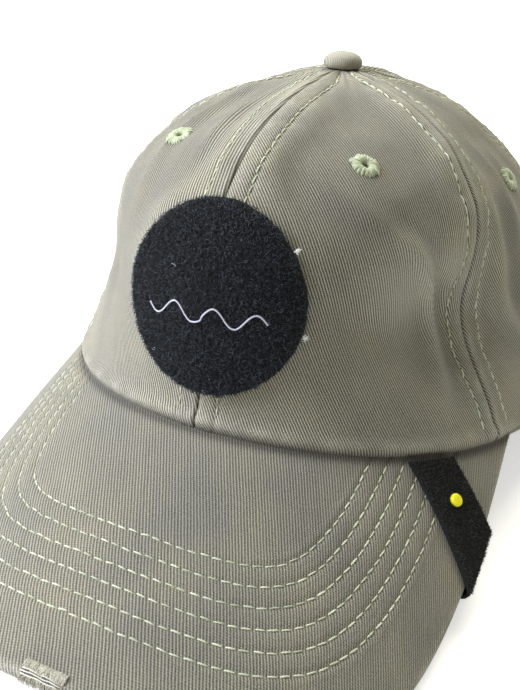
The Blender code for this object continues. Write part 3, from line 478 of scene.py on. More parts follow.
def sewn_crown(angle, share):
    point, normal, around = crown.frame(angle, share)
    return lifted(point, normal, seam_relief(angle, share, around)), normal


# ---------------------------------------------------------------- bill surface


def flat_x(x):
    return BILL_BEND * np.arcsin(x / BILL_BEND)


def bill_edge(share):
    """The bill's outline laid out flat, share 0 to 1 from +X to -X."""
    share = np.asarray(share, float)
    t = (1 - np.abs(2 * share - 1))[..., None]
    corner_x, corner_y = opening(BILL_CORNER)
    corner = np.array([float(flat_x(corner_x)), float(corner_y)])
    leave = np.array([math.sin(BILL_SIDE_FLARE), -math.cos(BILL_SIDE_FLARE)])
    front = np.array([0.0, EAR_LINE_Y - FRONT_REACH - BILL_LENGTH])
    pull = front + np.array([BILL_FRONT_PULL, 0])
    point = (1 - t) ** 3 * corner + 3 * (1 - t) ** 2 * t * (corner + BILL_SIDE_PULL * leave)
    point = point + 3 * (1 - t) * t * t * pull + t**3 * front
    return point * stack(np.where(share <= 0.5, 1.0, -1.0), 1.0)


def bill_outward(share):
    step = 0.002
    along = bill_edge(np.minimum(share + step, 1)) - bill_edge(np.maximum(share - step, 0))
    return unit(stack(-along[..., 1], along[..., 0]))


def bill_seam(angle):
    x, y = opening(angle)
    return stack(flat_x(x), y)


def on_bill(flat, lift):
    """The point this far above the bill's top surface, from a place on the flat layout."""
    x, y = BILL_BEND * np.sin(flat[..., 0] / BILL_BEND), flat[..., 1]
    lean = x / np.sqrt(BILL_BEND**2 - x * x)
    normal = unit(stack(lean, -math.tan(BILL_PITCH), 1.0))
    return lifted(stack(x, y, bill_height(x, y)), normal, lift), normal


def beyond_crown(flat):
    """1 where the bill meets the crown's foot, and more outside it."""
    x = BILL_BEND * np.sin(np.clip(flat[..., 0] / BILL_BEND, -1.5, 1.5))
    return np.hypot(x / HALF_WIDTH, (flat[..., 1] - EAR_LINE_Y) / FRONT_REACH)


def bill_strip(count, setback):
    """Lines out across the bill: start behind the crown's foot, outline, way out and length."""
    share = np.linspace(0, 1, count)[:, None]
    seam = bill_seam(BILL_CORNER * (1 - 2 * share))
    inner = seam + setback * unit(np.array([0, EAR_LINE_Y]) - seam)
    edge, outward = bill_edge(share), bill_outward(share)
    return inner, edge, outward, np.maximum(((edge - inner) * outward).sum(-1), 0.01)


EDGE_SHARES = np.linspace(0, 1, 900)
EDGE_POINTS = bill_edge(EDGE_SHARES)
BLOCK = 4000  # how many places are measured at once, to keep the memory small


def edge_distance(flat):
    """Distance to the outline, and -1 to 1 for the place along it."""
    places, shape = flat.reshape(-1, 2), flat.shape[:-1]
    nearest = []
    for start in range(0, len(places), BLOCK):
        gaps = ((places[start : start + BLOCK, None] - EDGE_POINTS) ** 2).sum(-1)
        nearest.append(gaps.argmin(axis=1))
    nearest = np.concatenate(nearest)
    away = np.linalg.norm(places - EDGE_POINTS[nearest], axis=1)
    return away.reshape(shape), (1 - 2 * EDGE_SHARES[nearest]).reshape(shape)


def row_swing(along):
    """The rows leave the outline a little towards the corners, more on the right."""
    return (ROW_SWING + 1.6 * (along > 0)) * np.abs(along) ** 3


def row_relief(flat):
    """Stitch channels, the cloth puffed between them, and small puckers."""
    away, along = edge_distance(flat)
    row = (away - ROW_FIRST - row_swing(along)) / ROW_STEP
    sewn = smooth_step((row + 0.6) / 0.3) * smooth_step((ROW_COUNT - 0.4 - row) / 0.3)
    off_row = np.abs(row - np.round(row)) * ROW_STEP
    pucker = noise_plane(along * 62, np.round(row) * 3.1 + 9, 31) * bell(off_row, 1.5)
    relief = sewn * (-0.42 * bell(off_row, 0.75) + 0.10 + 0.12 * pucker)
    relief = relief + 0.18 * noise_plane(flat[..., 0] / 17 + 30, flat[..., 1] / 13 + 30, 32)
    return relief, away, along


# ---------------------------------------------------------------- placing and meshes

slide = next(j for j in frame["joints"] if j["name"] == "strap_slide")
cap_up = Vector(slide["axis"]).normalized()
cap_side = Vector((1, 0, 0))
CAP_TURN = Matrix((cap_side, cap_up.cross(cap_side), cap_up)).transposed()
ear_line = CAP_TURN @ (Vector((0, EAR_LINE_Y, 0)) * MM)
back_hem = CAP_TURN @ (Vector((0, EAR_LINE_Y + HALF_WIDTH, 0)) * MM)
cap_origin = Vector(slide["pos_m"]) - ear_line
cap_origin -= cap_up * ((cap_origin + back_hem).z / cap_up.z)
TURN = np.array(CAP_TURN)
ORIGIN = np.array(cap_origin)


def to_row_frame(points):
    return np.asarray(points).reshape(-1, 3) * MM @ TURN.T + ORIGIN


def build(name, points, face_sets, material, body="cap", slot="washed_twill", replaces=None, **values):
    """A mesh piece from points in the cap's frame. Values are per-point attributes."""
    loops = np.concatenate([faces.ravel() for faces in face_sets])
    sizes = np.concatenate([np.full(len(faces), faces.shape[1]) for faces in face_sets])
    used, loops = np.unique(loops, return_inverse=True)
    mesh = bpy.data.meshes.new(name)
    mesh.vertices.add(len(used))
    mesh.vertices.foreach_set("co", to_row_frame(points)[used].astype(np.float32).ravel())
    mesh.loops.add(len(loops))
    mesh.loops.foreach_set("vertex_index", loops.ravel().astype(np.int32))
    mesh.polygons.add(len(sizes))
    starts = np.concatenate([[0], np.cumsum(sizes)[:-1]])
    mesh.polygons.foreach_set("loop_start", starts.astype(np.int32))
    mesh.update(calc_edges=True)
    for key, value in values.items():
        flat = key == "cloth"
        value = np.asarray(value, np.float32).reshape(-1, 2 if flat else 1)[used]
        if flat:
            value = np.pad(value, ((0, 0), (0, 1)))
        layer = mesh.attributes.new(key, "FLOAT_VECTOR" if flat else "FLOAT", "POINT")
        layer.data.foreach_set("vector" if flat else "value", value.ravel())
    mesh.materials.append(material)
    mesh.shade_smooth()
    piece = add_object(name, mesh)
    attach(piece, body)
    if replaces:
        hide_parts(replaces)


def sheet(name, outer, inner, material, keep=slice(None), **options):
    """A closed solid between two skins on one grid of rows and columns."""
    count = outer.shape[0] * outer.shape[1]
    quads = grid_faces(*outer.shape[:2])[keep]
    starts, ends = quads.ravel(), np.roll(quads, -1, axis=1).ravel()
    open_edge = ~np.isin(starts * count + ends, ends * count + starts)
    a, b = starts[open_edge], ends[open_edge]
    for key, value in options.items():
        if isinstance(value, np.ndarray):
            options[key] = np.concatenate([value.reshape(count, -1)] * 2)
    points = np.concatenate([outer.reshape(-1, 3), inner.reshape(-1, 3)])
    walls = stack(b, a, a + count, b + count)
    build(name, points, (quads, quads[:, ::-1] + count, walls), material, **options)


def swept(name, sections, material, turned_over=False, **options):
    """A closed solid from a run of closed sections, shape (steps, around, 3)."""
    steps, around = sections.shape[:2]
    first = np.arange(around)
    caps = np.stack([first[::-1], (steps - 1) * around + first])
    faces = [grid_faces(steps, around, loop=True), caps]
    if turned_over:
        faces = [each[:, ::-1] for each in faces]
    build(name, sections, faces, material, **options)


def turned(centre, axes, reach, height, count):
    """A profile of reaches and heights turned round the last of three axes."""
    turn = turns(count)[:, None]
    out = np.cos(turn) * axes[0] + np.sin(turn) * axes[1]
    return centre + np.asarray(reach)[..., None] * out + np.asarray(height)[..., None] * axes[2]


def upright_axes(normal):
    """Right, up and outward on a surface that faces along the normal."""
    right = unit(np.cross([0, 0, 1], normal))
    return right, np.cross(normal, right), normal


def tubes(lines, normals, radii, sides=6, flat=1.0):
    """Points and faces of many closed tubes, from centre lines of shape (tubes, rings, 3)."""
    count, rings = lines.shape[:2]
    along = unit(np.gradient(lines, axis=1))
    side = unit(np.cross(along, normals))
    up = np.cross(side, along)
    turn = turns(sides)[:, None]
    ring = np.cos(turn) * side[:, :, None] + flat * np.sin(turn) * up[:, :, None]
    points = lines[:, :, None] + np.asarray(radii)[..., None, None] * ring
    shift = (np.arange(count) * rings * sides)[:, None, None]
    quads = grid_faces(rings, sides, loop=True)[:, TURNED_OVER] + shift
    first = np.arange(sides)
    caps = np.stack([first, (rings - 1) * sides + first[::-1]]) + shift
    return points.reshape(-1, 3), (quads.reshape(-1, 4), caps.reshape(-1, sides))


def strands(name, lines, normals, radii, tones, material, sides=6, flat=1.0, **options):
    """One piece of many closed tubes, each with its own tone."""
    points, faces = tubes(lines, normals, radii, sides, flat)
    tone = np.repeat(tones, len(points) // len(lines))
    build(name, points, faces, material, tone=tone, **options)


def thread_run(path, normals, rng, pitch=STITCH_PITCH, lift=0.16):
    """Centre lines of the separate stitches along a path, each end sunk in the cloth."""
    run = run_along(path)
    starts = np.arange(0.4, run[-1] - pitch, pitch)
    count = len(starts)
    starts = starts + rng.uniform(-0.04, 0.04, count) * pitch
    rings = np.linspace(0, 1, 7)
    length = STITCH_COVER * pitch * rng.uniform(0.93, 1.03, count)
    at = starts[:, None] + length[:, None] * rings
    point, normal = (stack(*(np.interp(at, run, part) for part in v.T)) for v in (path, normals))
    normal = unit(normal)
    side = np.cross(unit(np.gradient(point, axis=1)), normal)
    slant = rng.normal(0, 0.09, (count, 1))
    slant = slant + rng.normal(0.08, 0.07, (count, 1)) * (rings - 0.5) * 2
    arch = np.sin(PI * rings)
    height = lift * arch**0.5 - 0.32 * (1 - arch**0.35)
    return point + height[:, None] * normal + slant[..., None] * side, normal


def sew(name, runs, seed, radius=THREAD, body="cap", **options):
    """One piece that holds the stitches of several paths."""
    rng = np.random.default_rng(seed)
    made = [thread_run(path, normals, rng, **options) for path, normals in runs]
    lines, normals = (np.concatenate(parts) for parts in zip(*made))
    swell = radius * (0.45 + 0.55 * np.sin(PI * np.linspace(0, 1, lines.shape[1])) ** 0.5)
    radii = swell * rng.uniform(0.88, 1.12, (len(lines), 1))
    tones = rng.uniform(0.2, 1, len(lines))
    strands(name, lines, normals, radii, tones, green_thread, slot="vent_thread", body=body)


def pile(name, bases, normals, material, seed, length, radius=0.085):
    """Short curled fibres standing on a surface, each a closed tapering tube."""
    rng = np.random.default_rng(seed)
    count = len(bases)
    toward = unit(rng.normal(0, 1, (count, 3)))
    toward = unit(toward - (toward * normals).sum(-1, keepdims=True) * normals)
    curl = unit(np.cross(normals, toward)) * rng.uniform(-0.6, 0.6, (count, 1))
    bases, normals, toward, curl = (v[:, None] for v in (bases, normals, toward, curl))
    tall = length * rng.uniform(0.55, 1.2, (count, 1, 1))
    tilt = PILE_LEAN * rng.uniform(0.2, 1.1, (count, 1, 1))
    t = np.array([0.0, 0.35, 0.7, 1.0])[:, None]
    rise = tall * (t - 0.28 * t * t) - 0.12
    lines = bases + normals * rise + toward * tall * tilt * t * t + curl * tall * t * (1 - t)
    radii = radius * np.array([1.0, 0.9, 0.7, 0.3]) * rng.uniform(0.8, 1.25, (count, 1))
    tones = rng.uniform(0, 1, count)
    strands(name, lines, toward + 1e-3, radii, tones, material, sides=3, slot="black_pile")


# ---------------------------------------------------------------- materials


def linear(red, green, blue):
    values = [v / 255 for v in (red, green, blue)]
    return [v / 12.92 if v <= 0.04045 else ((v + 0.055) / 1.055) ** 2.4 for v in values] + [1.0]


def math_node(operation, swapped=False):
    def apply(wire, other=0.0):
        inputs = {0: other, 1: wire} if swapped else {0: wire, 1: other}
        return wire.nodes.node("ShaderNodeMath", inputs, operation=operation)

    return apply


class Wire:
    """One output of a node. Arithmetic on it adds math nodes."""

    def __init__(self, nodes, socket):
        self.nodes, self.socket = nodes, socket

    __add__, __radd__ = math_node("ADD"), math_node("ADD", True)
    __sub__, __rsub__ = math_node("SUBTRACT"), math_node("SUBTRACT", True)
    __mul__, __truediv__ = math_node("MULTIPLY"), math_node("DIVIDE")
    __pow__, sine = math_node("POWER"), math_node("SINE")


class Nodes:
    """Short ways to add nodes to one tree."""

    def __init__(self, tree):
        self.tree = tree

    def feed(self, socket, value):
        if isinstance(value, Wire):
            self.tree.links.new(value.socket, socket)
        else:
            socket.default_value = value[:3] if socket.type == "VECTOR" else value

    def node(self, kind, inputs, output=0, **settings):
        made = self.tree.nodes.new(kind)
        for key, value in settings.items():
            setattr(made, key, value)
        for key, value in inputs.items():
            self.feed(made.inputs[key], value)
        return Wire(self, made.outputs[output])

    def value(self, name, output="Fac"):
        return self.node("ShaderNodeAttribute", {}, output, attribute_name=name)

    def join(self, x, y):
        return self.node("ShaderNodeCombineXYZ", {"X": x, "Y": y})

    def times(self, vector, factors):
        return self.node("ShaderNodeVectorMath", {0: vector, 1: factors}, operation="MULTIPLY")

    def noise(self, vector, scale=1.0, detail=2.0, rough=0.5):
        inputs = {"Vector": vector, "Scale": scale, "Detail": detail, "Roughness": rough}
        return self.node("ShaderNodeTexNoise", inputs)

    def mix(self, share, first, second):
        return self.node("ShaderNodeMix", {0: share, 6: first, 7: second}, 2, data_type="RGBA")

    def clamp(self, value):
        return self.node("ShaderNodeClamp", {"Value": value})

    def sum(self, parts, base=1.0):
        """base + the sum of weight * (value - 0.5)."""
        for weight, value in parts:
            base = base + (value - 0.5) * weight
        return base

    def shade(self, color, factor):
        """The colour times one number, or times another colour."""
        if isinstance(factor, Wire):
            factor = self.node("ShaderNodeCombineXYZ", {"X": factor, "Y": factor, "Z": factor})
        return self.times(color, factor)


class Shader(Nodes):
    """Builds one node material round a Principled BSDF."""

    def __init__(self, name, roughness=0.9, sheen=0.0, metallic=0.0):
        self.material = bpy.data.materials.new(name)
        self.material.use_nodes = True
        super().__init__(self.material.node_tree)
        self.inputs = self.tree.nodes["Principled BSDF"].inputs
        looks = {"Roughness": roughness, "Metallic": metallic, "Sheen Weight": sheen}
        looks["Sheen Roughness"] = 0.6
        for key, value in looks.items():
            self.feed(self.inputs[key], value)

    def cloth(self):
        """The place on the cloth's own layout, in millimetres."""
        place = self.value("cloth", "Vector")
        return [self.node("ShaderNodeSeparateXYZ", {0: place}, axis) for axis in (0, 1)]

    def place(self):
        """Position in millimetres, for materials with no cloth layout."""
        return self.times(self.node("ShaderNodeTexCoord", {}, "Object"), (1000, 1000, 1000))

    def finish(self, color, height=None, distance=0.1, strength=1.0):
        self.feed(self.inputs["Base Color"], color)
        if height is not None:
            inputs = {"Height": height, "Distance": distance * MM, "Strength": strength}
            self.feed(self.inputs["Normal"], self.node("ShaderNodeBump", inputs))
        return self.material


DARK_THREAD, PALE_THREAD, WORN_THREAD = linear(74, 76, 78), linear(178, 174, 155), linear(198, 195, 180)
# Bare threads of the torn patch, darkened further as painted shade for the tear's hollow
BARE_THREAD_AND_SHADE, WARM = linear(106, 106, 110), (1.05, 1.0, 0.90)


def twill(name, lean, pitch=TWILL_PITCH, contrast=1.0, beads=0.3, tone=1.0):
    """Washed twill: pale ribs over darker threads at a lean, with streaks, fading, wear and painted shade.
    """
    s = Shader(name, 0.92, 0.12)
    x, y = s.cloth()
    cos, sin = math.cos(lean), math.sin(lean)
    across, along = x * cos + y * sin, y * cos - x * sin
    phase = across / pitch + s.noise(s.join(across * 0.22, along * 0.16)) * 0.35
    rib = (phase * (2 * PI)).sine() * 0.5 + 0.5
    bead = (along / (BEAD_PITCH / (2 * PI)) + phase * PI).sine() * 0.5 + 0.5
    broken = s.noise(s.join(phase, along * 1.3), 1.6, rough=0.7)
    streak = s.noise(s.join(across * 0.9, along * 0.05))
    fade = s.noise(s.join(x, y), 0.045, 3)
    fluff = s.noise(s.join(x, y), 3.2, rough=0.7)
    parts = (0.9 * contrast, rib), (beads * contrast, bead), (1.2 * contrast, broken), (0.7, fluff)
    color = s.mix(s.clamp(s.sum(parts, 0.45)), DARK_THREAD, PALE_THREAD)
    # Streaks and fading; tone scales the whole colour, and a tone under 1, as on the bill, is painted shade
    color = s.shade(color, s.sum(((0.3, streak), (0.5, fade)), tone))
    color = s.mix(s.clamp(s.sum(((3.0, fade),), 0.3)), color, s.shade(color, WARM))
    rubbed = s.value("wear") * s.sum(((1.8, broken), (0.6, rib)), 0.7)
    color = s.mix(s.clamp(rubbed), color, WORN_THREAD)
    # Torn patch: bare threads, darkened further as painted shade for the tear's hollow
    bare_and_shade = s.shade(BARE_THREAD_AND_SHADE, s.sum(((1.3, s.noise(s.join(x * 0.35, y * 3.2))),)))
    color = s.mix(s.value("fray"), color, bare_and_shade)
    # Painted shade: darker in creases, seam grooves and dents, by the attribute read here
    color = s.shade(color, 1.0 - s.value("crease") * 0.6)
    height = s.sum(((1.0, rib), (0.4, bead), (0.8, broken), (0.35, fluff), (0.3, streak)), 0.0)
    return s.finish(color, height, 0.16 * min(contrast, 1), 0.8)


def plain_cloth(name, base, pitch=0.55):
    """Plain weave of two thread directions."""
    s = Shader(name, 0.92, 0.2)
    first, second = ((axis * (2 * PI / pitch)).sine() for axis in s.cloth())
    weave = first * second * 0.5 + 0.5
    slub, fade = (s.noise(s.value("cloth", "Vector"), *size) for size in ((1.4, 2), (0.07, 3)))
    color = s.shade(base, s.sum(((0.25, weave), (0.3, slub), (0.25, fade))))
    return s.finish(color, s.sum(((1.0, weave), (0.6, slub)), 0.0), 0.12)


def thread(name, dull, bright, sheen=0.3, roughness=0.6):
    """Sewing thread: each stitch has its own tone, with fine twist."""
    s = Shader(name, roughness, sheen)
    twist = s.noise(s.place(), 4.5, rough=0.7)
    color = s.mix(s.value("tone"), dull, bright)
    return s.finish(s.shade(color, s.sum(((0.5, twist),))), twist, 0.08)


def fibre(name, dark, pale, roughness=0.95, sheen=0.15):
    """Pile and lint: mostly the dark tone, with a few pale fibres."""
    s = Shader(name, roughness, sheen)
    clump = s.noise(s.place(), 0.5, 3, 0.7)
    color = s.shade(s.mix(s.value("tone") ** 3.0, dark, pale), s.sum(((1.5, clump),)))
    return s.finish(color, s.noise(s.place(), 2.0, 3, 0.8), 0.3)


def moulded(name, color, roughness):
    s = Shader(name, roughness)
    grain = s.noise(s.place(), 1.6, 3)
    return s.finish(s.shade(color, s.sum(((0.12, grain),))), grain, 0.03)


def metal(name, bright, dark, roughness):
    """Plated metal, duller and darker in patches."""
    s = Shader(name, roughness, metallic=1.0)
    patch = s.noise(s.place(), 0.35, 4, 0.65)
    scratch = s.noise(s.times(s.place(), (0.3, 0.3, 6)))
    s.feed(s.inputs["Roughness"], s.sum(((0.5, patch), (0.2, scratch)), roughness))
    return s.finish(s.mix(patch, dark, bright), scratch, 0.03)


crown_twill = twill("washed_twill_crown", CROWN_LEAN, contrast=1.4, beads=0.1)
# Painted shade: the bill is the crown's cloth, made darker overall by tone 0.91
bill_twill = twill("washed_twill_bill", BILL_LEAN, contrast=0.75, tone=0.91)
plain_twill = twill("washed_twill_trim", TRIM_LEAN, 0.7, 0.5)
button_twill = twill("washed_twill_button", TRIM_LEAN, 0.6, 0.25)
sweat_cotton = plain_cloth("sweatband_cotton_weave", linear(150, 146, 131))
tape_cotton = plain_cloth("lining_tape_weave", linear(132, 129, 114), 0.7)
green_thread = thread("pale_green_stitch", linear(158, 168, 132), linear(222, 228, 200))
vent_thread = thread("vent_embroidery", linear(156, 168, 132), linear(206, 214, 182), 0.3)
pile_base = fibre("black_pile_base", linear(14, 16, 18), linear(24, 27, 31), sheen=0.0)
pile_fibre = fibre("black_pile_fibre", linear(16, 20, 25), linear(90, 104, 118), 0.75, 0.04)
band_fibre = fibre("black_band_fibre", linear(17, 18, 18), linear(84, 86, 84), 0.8, 0.04)
ridge_thread = thread("pale_line_thread", linear(150, 154, 178), linear(206, 208, 224), 0.2, 0.3)
lint_fibre = fibre("white_lint", linear(215, 215, 212), linear(240, 240, 238))
bare_cord = thread("bare_weft_cord", linear(172, 168, 150), linear(226, 223, 209))
dot_plastic = moulded("bright_yellow_dot", linear(250, 243, 28), 0.42)
board_plastic = moulded("bill_board_sheet", linear(60, 60, 58), 0.6)
brass = metal("aged_brass_plate", linear(176, 146, 92), linear(104, 82, 50), 0.38)
steel = metal("button_steel_plate", linear(168, 168, 165), linear(110, 110, 108), 0.35)


# ---------------------------------------------------------------- crown pieces

PANEL_COLUMNS, PANEL_ROWS, PANEL_THICK, PANEL_GAP = 104, 132, 1.0, 0.001
VENT_HOLE, VENT_INNER, VENT_REACH, VENT_THREADS = 1.9, 1.15, 3.9, 66
# The vent's threads from the hole out, and the ring under them: (share or radius, lift)
VENT_ARC = ((0.0, -0.9), (0.06, 0.1), (0.2, 0.55), (0.45, 0.7), (0.75, 0.55), (0.93, 0.2), (1.0, -0.35))
VENT_RING = ((1.15, -0.9), (1.7, -0.9), (3.6, -0.2), (3.4, 0.3), (2.4, 0.5), (1.25, 0.3))
TAPE_HALF, SEAM_TOP = 5.6, 0.985  # the tapes' half width, and the share where seams end
SWEAT_TALL, SWEAT_DEPTH, SWEAT_THICK = 30, 3.8, 0.8
SWEAT_RADIUS, STRAP_RADIUS = 86, 82  # rough radii that lay the cloth's pattern out


def edge_crowded(count):
    """Places from 0 to 1 that lie closer together near both ends."""
    t = np.linspace(0, 1, count)
    return 0.45 * t + 0.55 * (0.5 - 0.5 * np.cos(PI * t))


def crown_panel(place, side, first, last):
    across = first + PANEL_GAP + (last - first - 2 * PANEL_GAP) * edge_crowded(PANEL_COLUMNS)
    share, angle = grid(np.linspace(0, 1, PANEL_ROWS), across)
    point, normal, around = crown.frame(angle, share)
    relief = seam_relief(angle, share, around)
    outer = lifted(point, normal, relief)
    inner = lifted(point, normal, np.maximum(relief, -0.4) - PANEL_THICK)
    centres = (outer[:-1, :-1] + outer[1:, 1:]) / 2
    vent_centre = crown.at((first + last) / 2, VENT_SHARE)
    keep = np.linalg.norm(centres - vent_centre, axis=-1) > VENT_HOLE
    if place == "back":
        across_arch = centres[..., 0] / (ARCH_HALF_WIDTH + HEM_GAP)
        keep &= np.hypot(across_arch, centres[..., 2] / (ARCH_HEIGHT + HEM_GAP)) > 1
    away, _ = seam_distance(angle, around)
    ridge = 0.55 * bell(away - 1.7, 1.3) + 0.3 * bell(away - topstitch_offset(around) - 1.3, 1.0)
    height = share * CLOTH_RISE
    patchy = 0.5 + 0.5 * noise_plane(angle * 30, share * 40 + 20, 41)
    rubbed = (ridge + 0.6 * bell(height - 2.5, 2.0)) * patchy
    raised = read_table(crown.raised, angle, share)[..., 0]
    faded, sunk = np.clip(raised / 2.2, 0, 1), np.clip(-raised / 1.6, 0, 1)
    steps = np.linalg.norm(np.diff(read_table(crown.smooth, angle, share), axis=1), axis=-1)
    run = np.cumsum(np.pad(steps, ((0, 0), (1, 0))), axis=1)
    sheet(
        f"crown_{place}_{side}_cloth", outer, inner, crown_twill, keep.ravel(),
        replaces=f"crown_{place}_panel_{side}",
        cloth=stack(run - run[:, -1:] / 2, height),
        wear=rubbed + 0.42 * faded,
        # Painted shade: darker along the hem's roll, in the seam grooves and in the cloth's sunk dents
        crease=bell(height, 1.1) + 0.6 * bell(away, 0.5) + 0.33 * sunk,
    )


def vent(place, side, angle):
    """An embroidered eyelet: threads laid outward from the hole, over a low ring."""
    centre, normal = sewn_crown(np.array(angle), np.array(VENT_SHARE))
    axes = upright_axes(normal)
    rng = np.random.default_rng(int(abs(angle) * 100) + (side == "left"))
    count = VENT_THREADS
    turn = 2 * PI * (np.arange(count) + rng.uniform(-0.3, 0.3, count)) / count
    reach = VENT_REACH + rng.normal(0, 0.28, count)
    lines = []
    for share, lift in VENT_ARC:
        radius = VENT_INNER + (reach - VENT_INNER) * share
        swing = (turn + rng.normal(0, 0.02, count))[:, None]
        out = np.cos(swing) * axes[0] + np.sin(swing) * axes[1]
        lift = lift + rng.normal(0, 0.07, (count, 1))
        lines.append(centre + radius[:, None] * out + lift * normal)
    radii = np.full((count, len(lines)), 0.25) * rng.uniform(0.8, 1.25, (count, 1))
    lines = np.stack(lines, 1)
    points, faces = tubes(lines, np.broadcast_to(normal, lines.shape) + 1e-4, radii)
    tone = np.repeat(rng.uniform(0, 1, count), len(points) // count)
    ring = turned(centre, axes, *np.array(VENT_RING).T[..., None], 48).reshape(-1, 3)
    ring_faces = grid_faces(len(VENT_RING), 48, loop=True, closed=True)[:, ::-1] + len(points)
    build(
        f"vent_{place}_{side}_embroidery", np.concatenate([points, ring]), (*faces, ring_faces),
        vent_thread, slot="vent_thread", replaces=f"vent_eyelet_{place}_{side}",
        tone=np.concatenate([tone, np.full(len(ring), 0.1)]),
    )


def seam_tape(name, seam, start):
    share, across = grid(np.linspace(start, SEAM_TOP, 90), np.linspace(-1, 1, 13))
    _, _, around = crown.frame(np.full_like(share, seam), share)
    angle = seam + across * np.minimum(TAPE_HALF, 0.42 * around) / around
    point, normal, _ = crown.frame(angle, share)
    thin = 0.3 * (1 - across**8)
    outer, inner = lifted(point, normal, 0.2 * thin - 2.1), lifted(point, normal, -2.35 - thin)
    cloth = stack(across * TAPE_HALF, share * CLOTH_RISE)
    sheet(f"{name}_cloth", outer, inner, tape_cotton, cloth=cloth, slot="lining_twill", replaces=name)


def sweatband():
    share, angle = grid(np.linspace(0, 1, 30), np.linspace(-SWEAT_END, SWEAT_END, 320))
    deeper = smooth_step((np.abs(angle) - math.radians(105)) / math.radians(20))
    wave = 0.25 * noise_plane(angle * 9 + 30, share * 3, 51) * share
    depth = SWEAT_DEPTH + 1.4 * deeper + wave
    climb = climb_for_rise(angle, np.maximum(SWEAT_TALL * share, 0.01))
    drop = stack(0, 0, 2.5 * (1 - share) * (1 - deeper))
    bead = 0.35 * bell(share - 0.965, 0.03) + 0.3 * bell(share, 0.04)
    sewn = 0.25 * (bell(share - 0.89, 0.02) + bell(share - 0.12, 0.02))
    outer = under_smooth_crown(angle, climb, depth) - drop
    inner = under_smooth_crown(angle, climb, depth + SWEAT_THICK + bead - sewn) - drop
    cloth = stack(angle * SWEAT_RADIUS, share * SWEAT_TALL)
    sheet(
        "sweatband_cloth", outer, inner, sweat_cotton, cloth=cloth,
        slot="sweatband_cotton", replaces="sweatband",
    )
    runs = [(inner[row], unit(inner[row] - outer[row])) for row in (3, 26)]
    sew("sweatband_stitching", runs, seed=61, pitch=3.2)


def button():
    """The covered button, a turned profile with small pleats round its rim."""
    top = np.array([0.0, APEX_Y, CROWN_HEIGHT])
    reach, height = np.array((
        (5.1, -0.3), (5.9, 0.0), (6.25, 0.8), (6.3, 1.5), (6.05, 2.5), (5.3, 3.45), (4.2, 4.1),
        (2.9, 4.5), (1.4, 4.72), (0.25, 4.76), (0.25, 3.8), (2.4, 3.5), (4.4, 2.9), (5.3, 1.7), (4.5, 0.2),
    )).T[..., None]
    pleat = 0.12 * noise_line(np.arange(96) / 4, 71) * bell(height - 1.0, 1.6) * (reach > 5.0)
    ring = turned(top, np.eye(3), reach + pleat, height, 96)
    build(
        "button_cover_cloth", ring, (grid_faces(len(ring), 96, loop=True, closed=True),), button_twill,
        cloth=(ring - top)[..., :2], wear=0.6 * bell(ring[..., 2] - top[2] - 4.0, 2.0),
        replaces="button_cover",
    )


def seam_path(seam, offset, start, count=500):
    share = np.linspace(start, SEAM_TOP, count)
    _, _, around = crown.frame(np.full(count, seam), share)
    line = np.minimum(abs(offset), topstitch_offset(around)) * np.sign(offset)
    return sewn_crown(seam + line / around, share)


def crown_stitching():
    """A row of stitches on each side of each seam. The back seam's begin above the opening."""
    runs = []
    for seam in SEAMS:
        start = 0.285 if abs(seam) == PI else 0.03
        runs += [seam_path(seam, sign * TOPSTITCH, start) for sign in (-1, 1)]
    sew("crown_topstitching", runs, seed=62, lift=0.26)


PANELS = ("front", 0, FRONT_SEAM), ("side", FRONT_SEAM, BACK_SEAM), ("back", BACK_SEAM, PI)
for place, near, far in PANELS:
    for side, first, last in (("right", near, far), ("left", -far, -near)):
        crown_panel(place, side, first, last)
        vent(place, side, (first + last) / 2)
seam_tape("seam_tape_front", 0.0, 0.012)
seam_tape("seam_tape_back", PI, 0.36)
for side, sign in (("right", 1), ("left", -1)):
    seam_tape(f"seam_tape_front_{side}", sign * FRONT_SEAM, 0.012)
    seam_tape(f"seam_tape_back_{side}", sign * BACK_SEAM, 0.012)
sweatband()
button()
crown_stitching()


# ---------------------------------------------------------------- bill pieces

ROLL, ROLL_DROP = 2.0, 2.05  # how the top cover rounds the edge
TOP_ROWS = 110


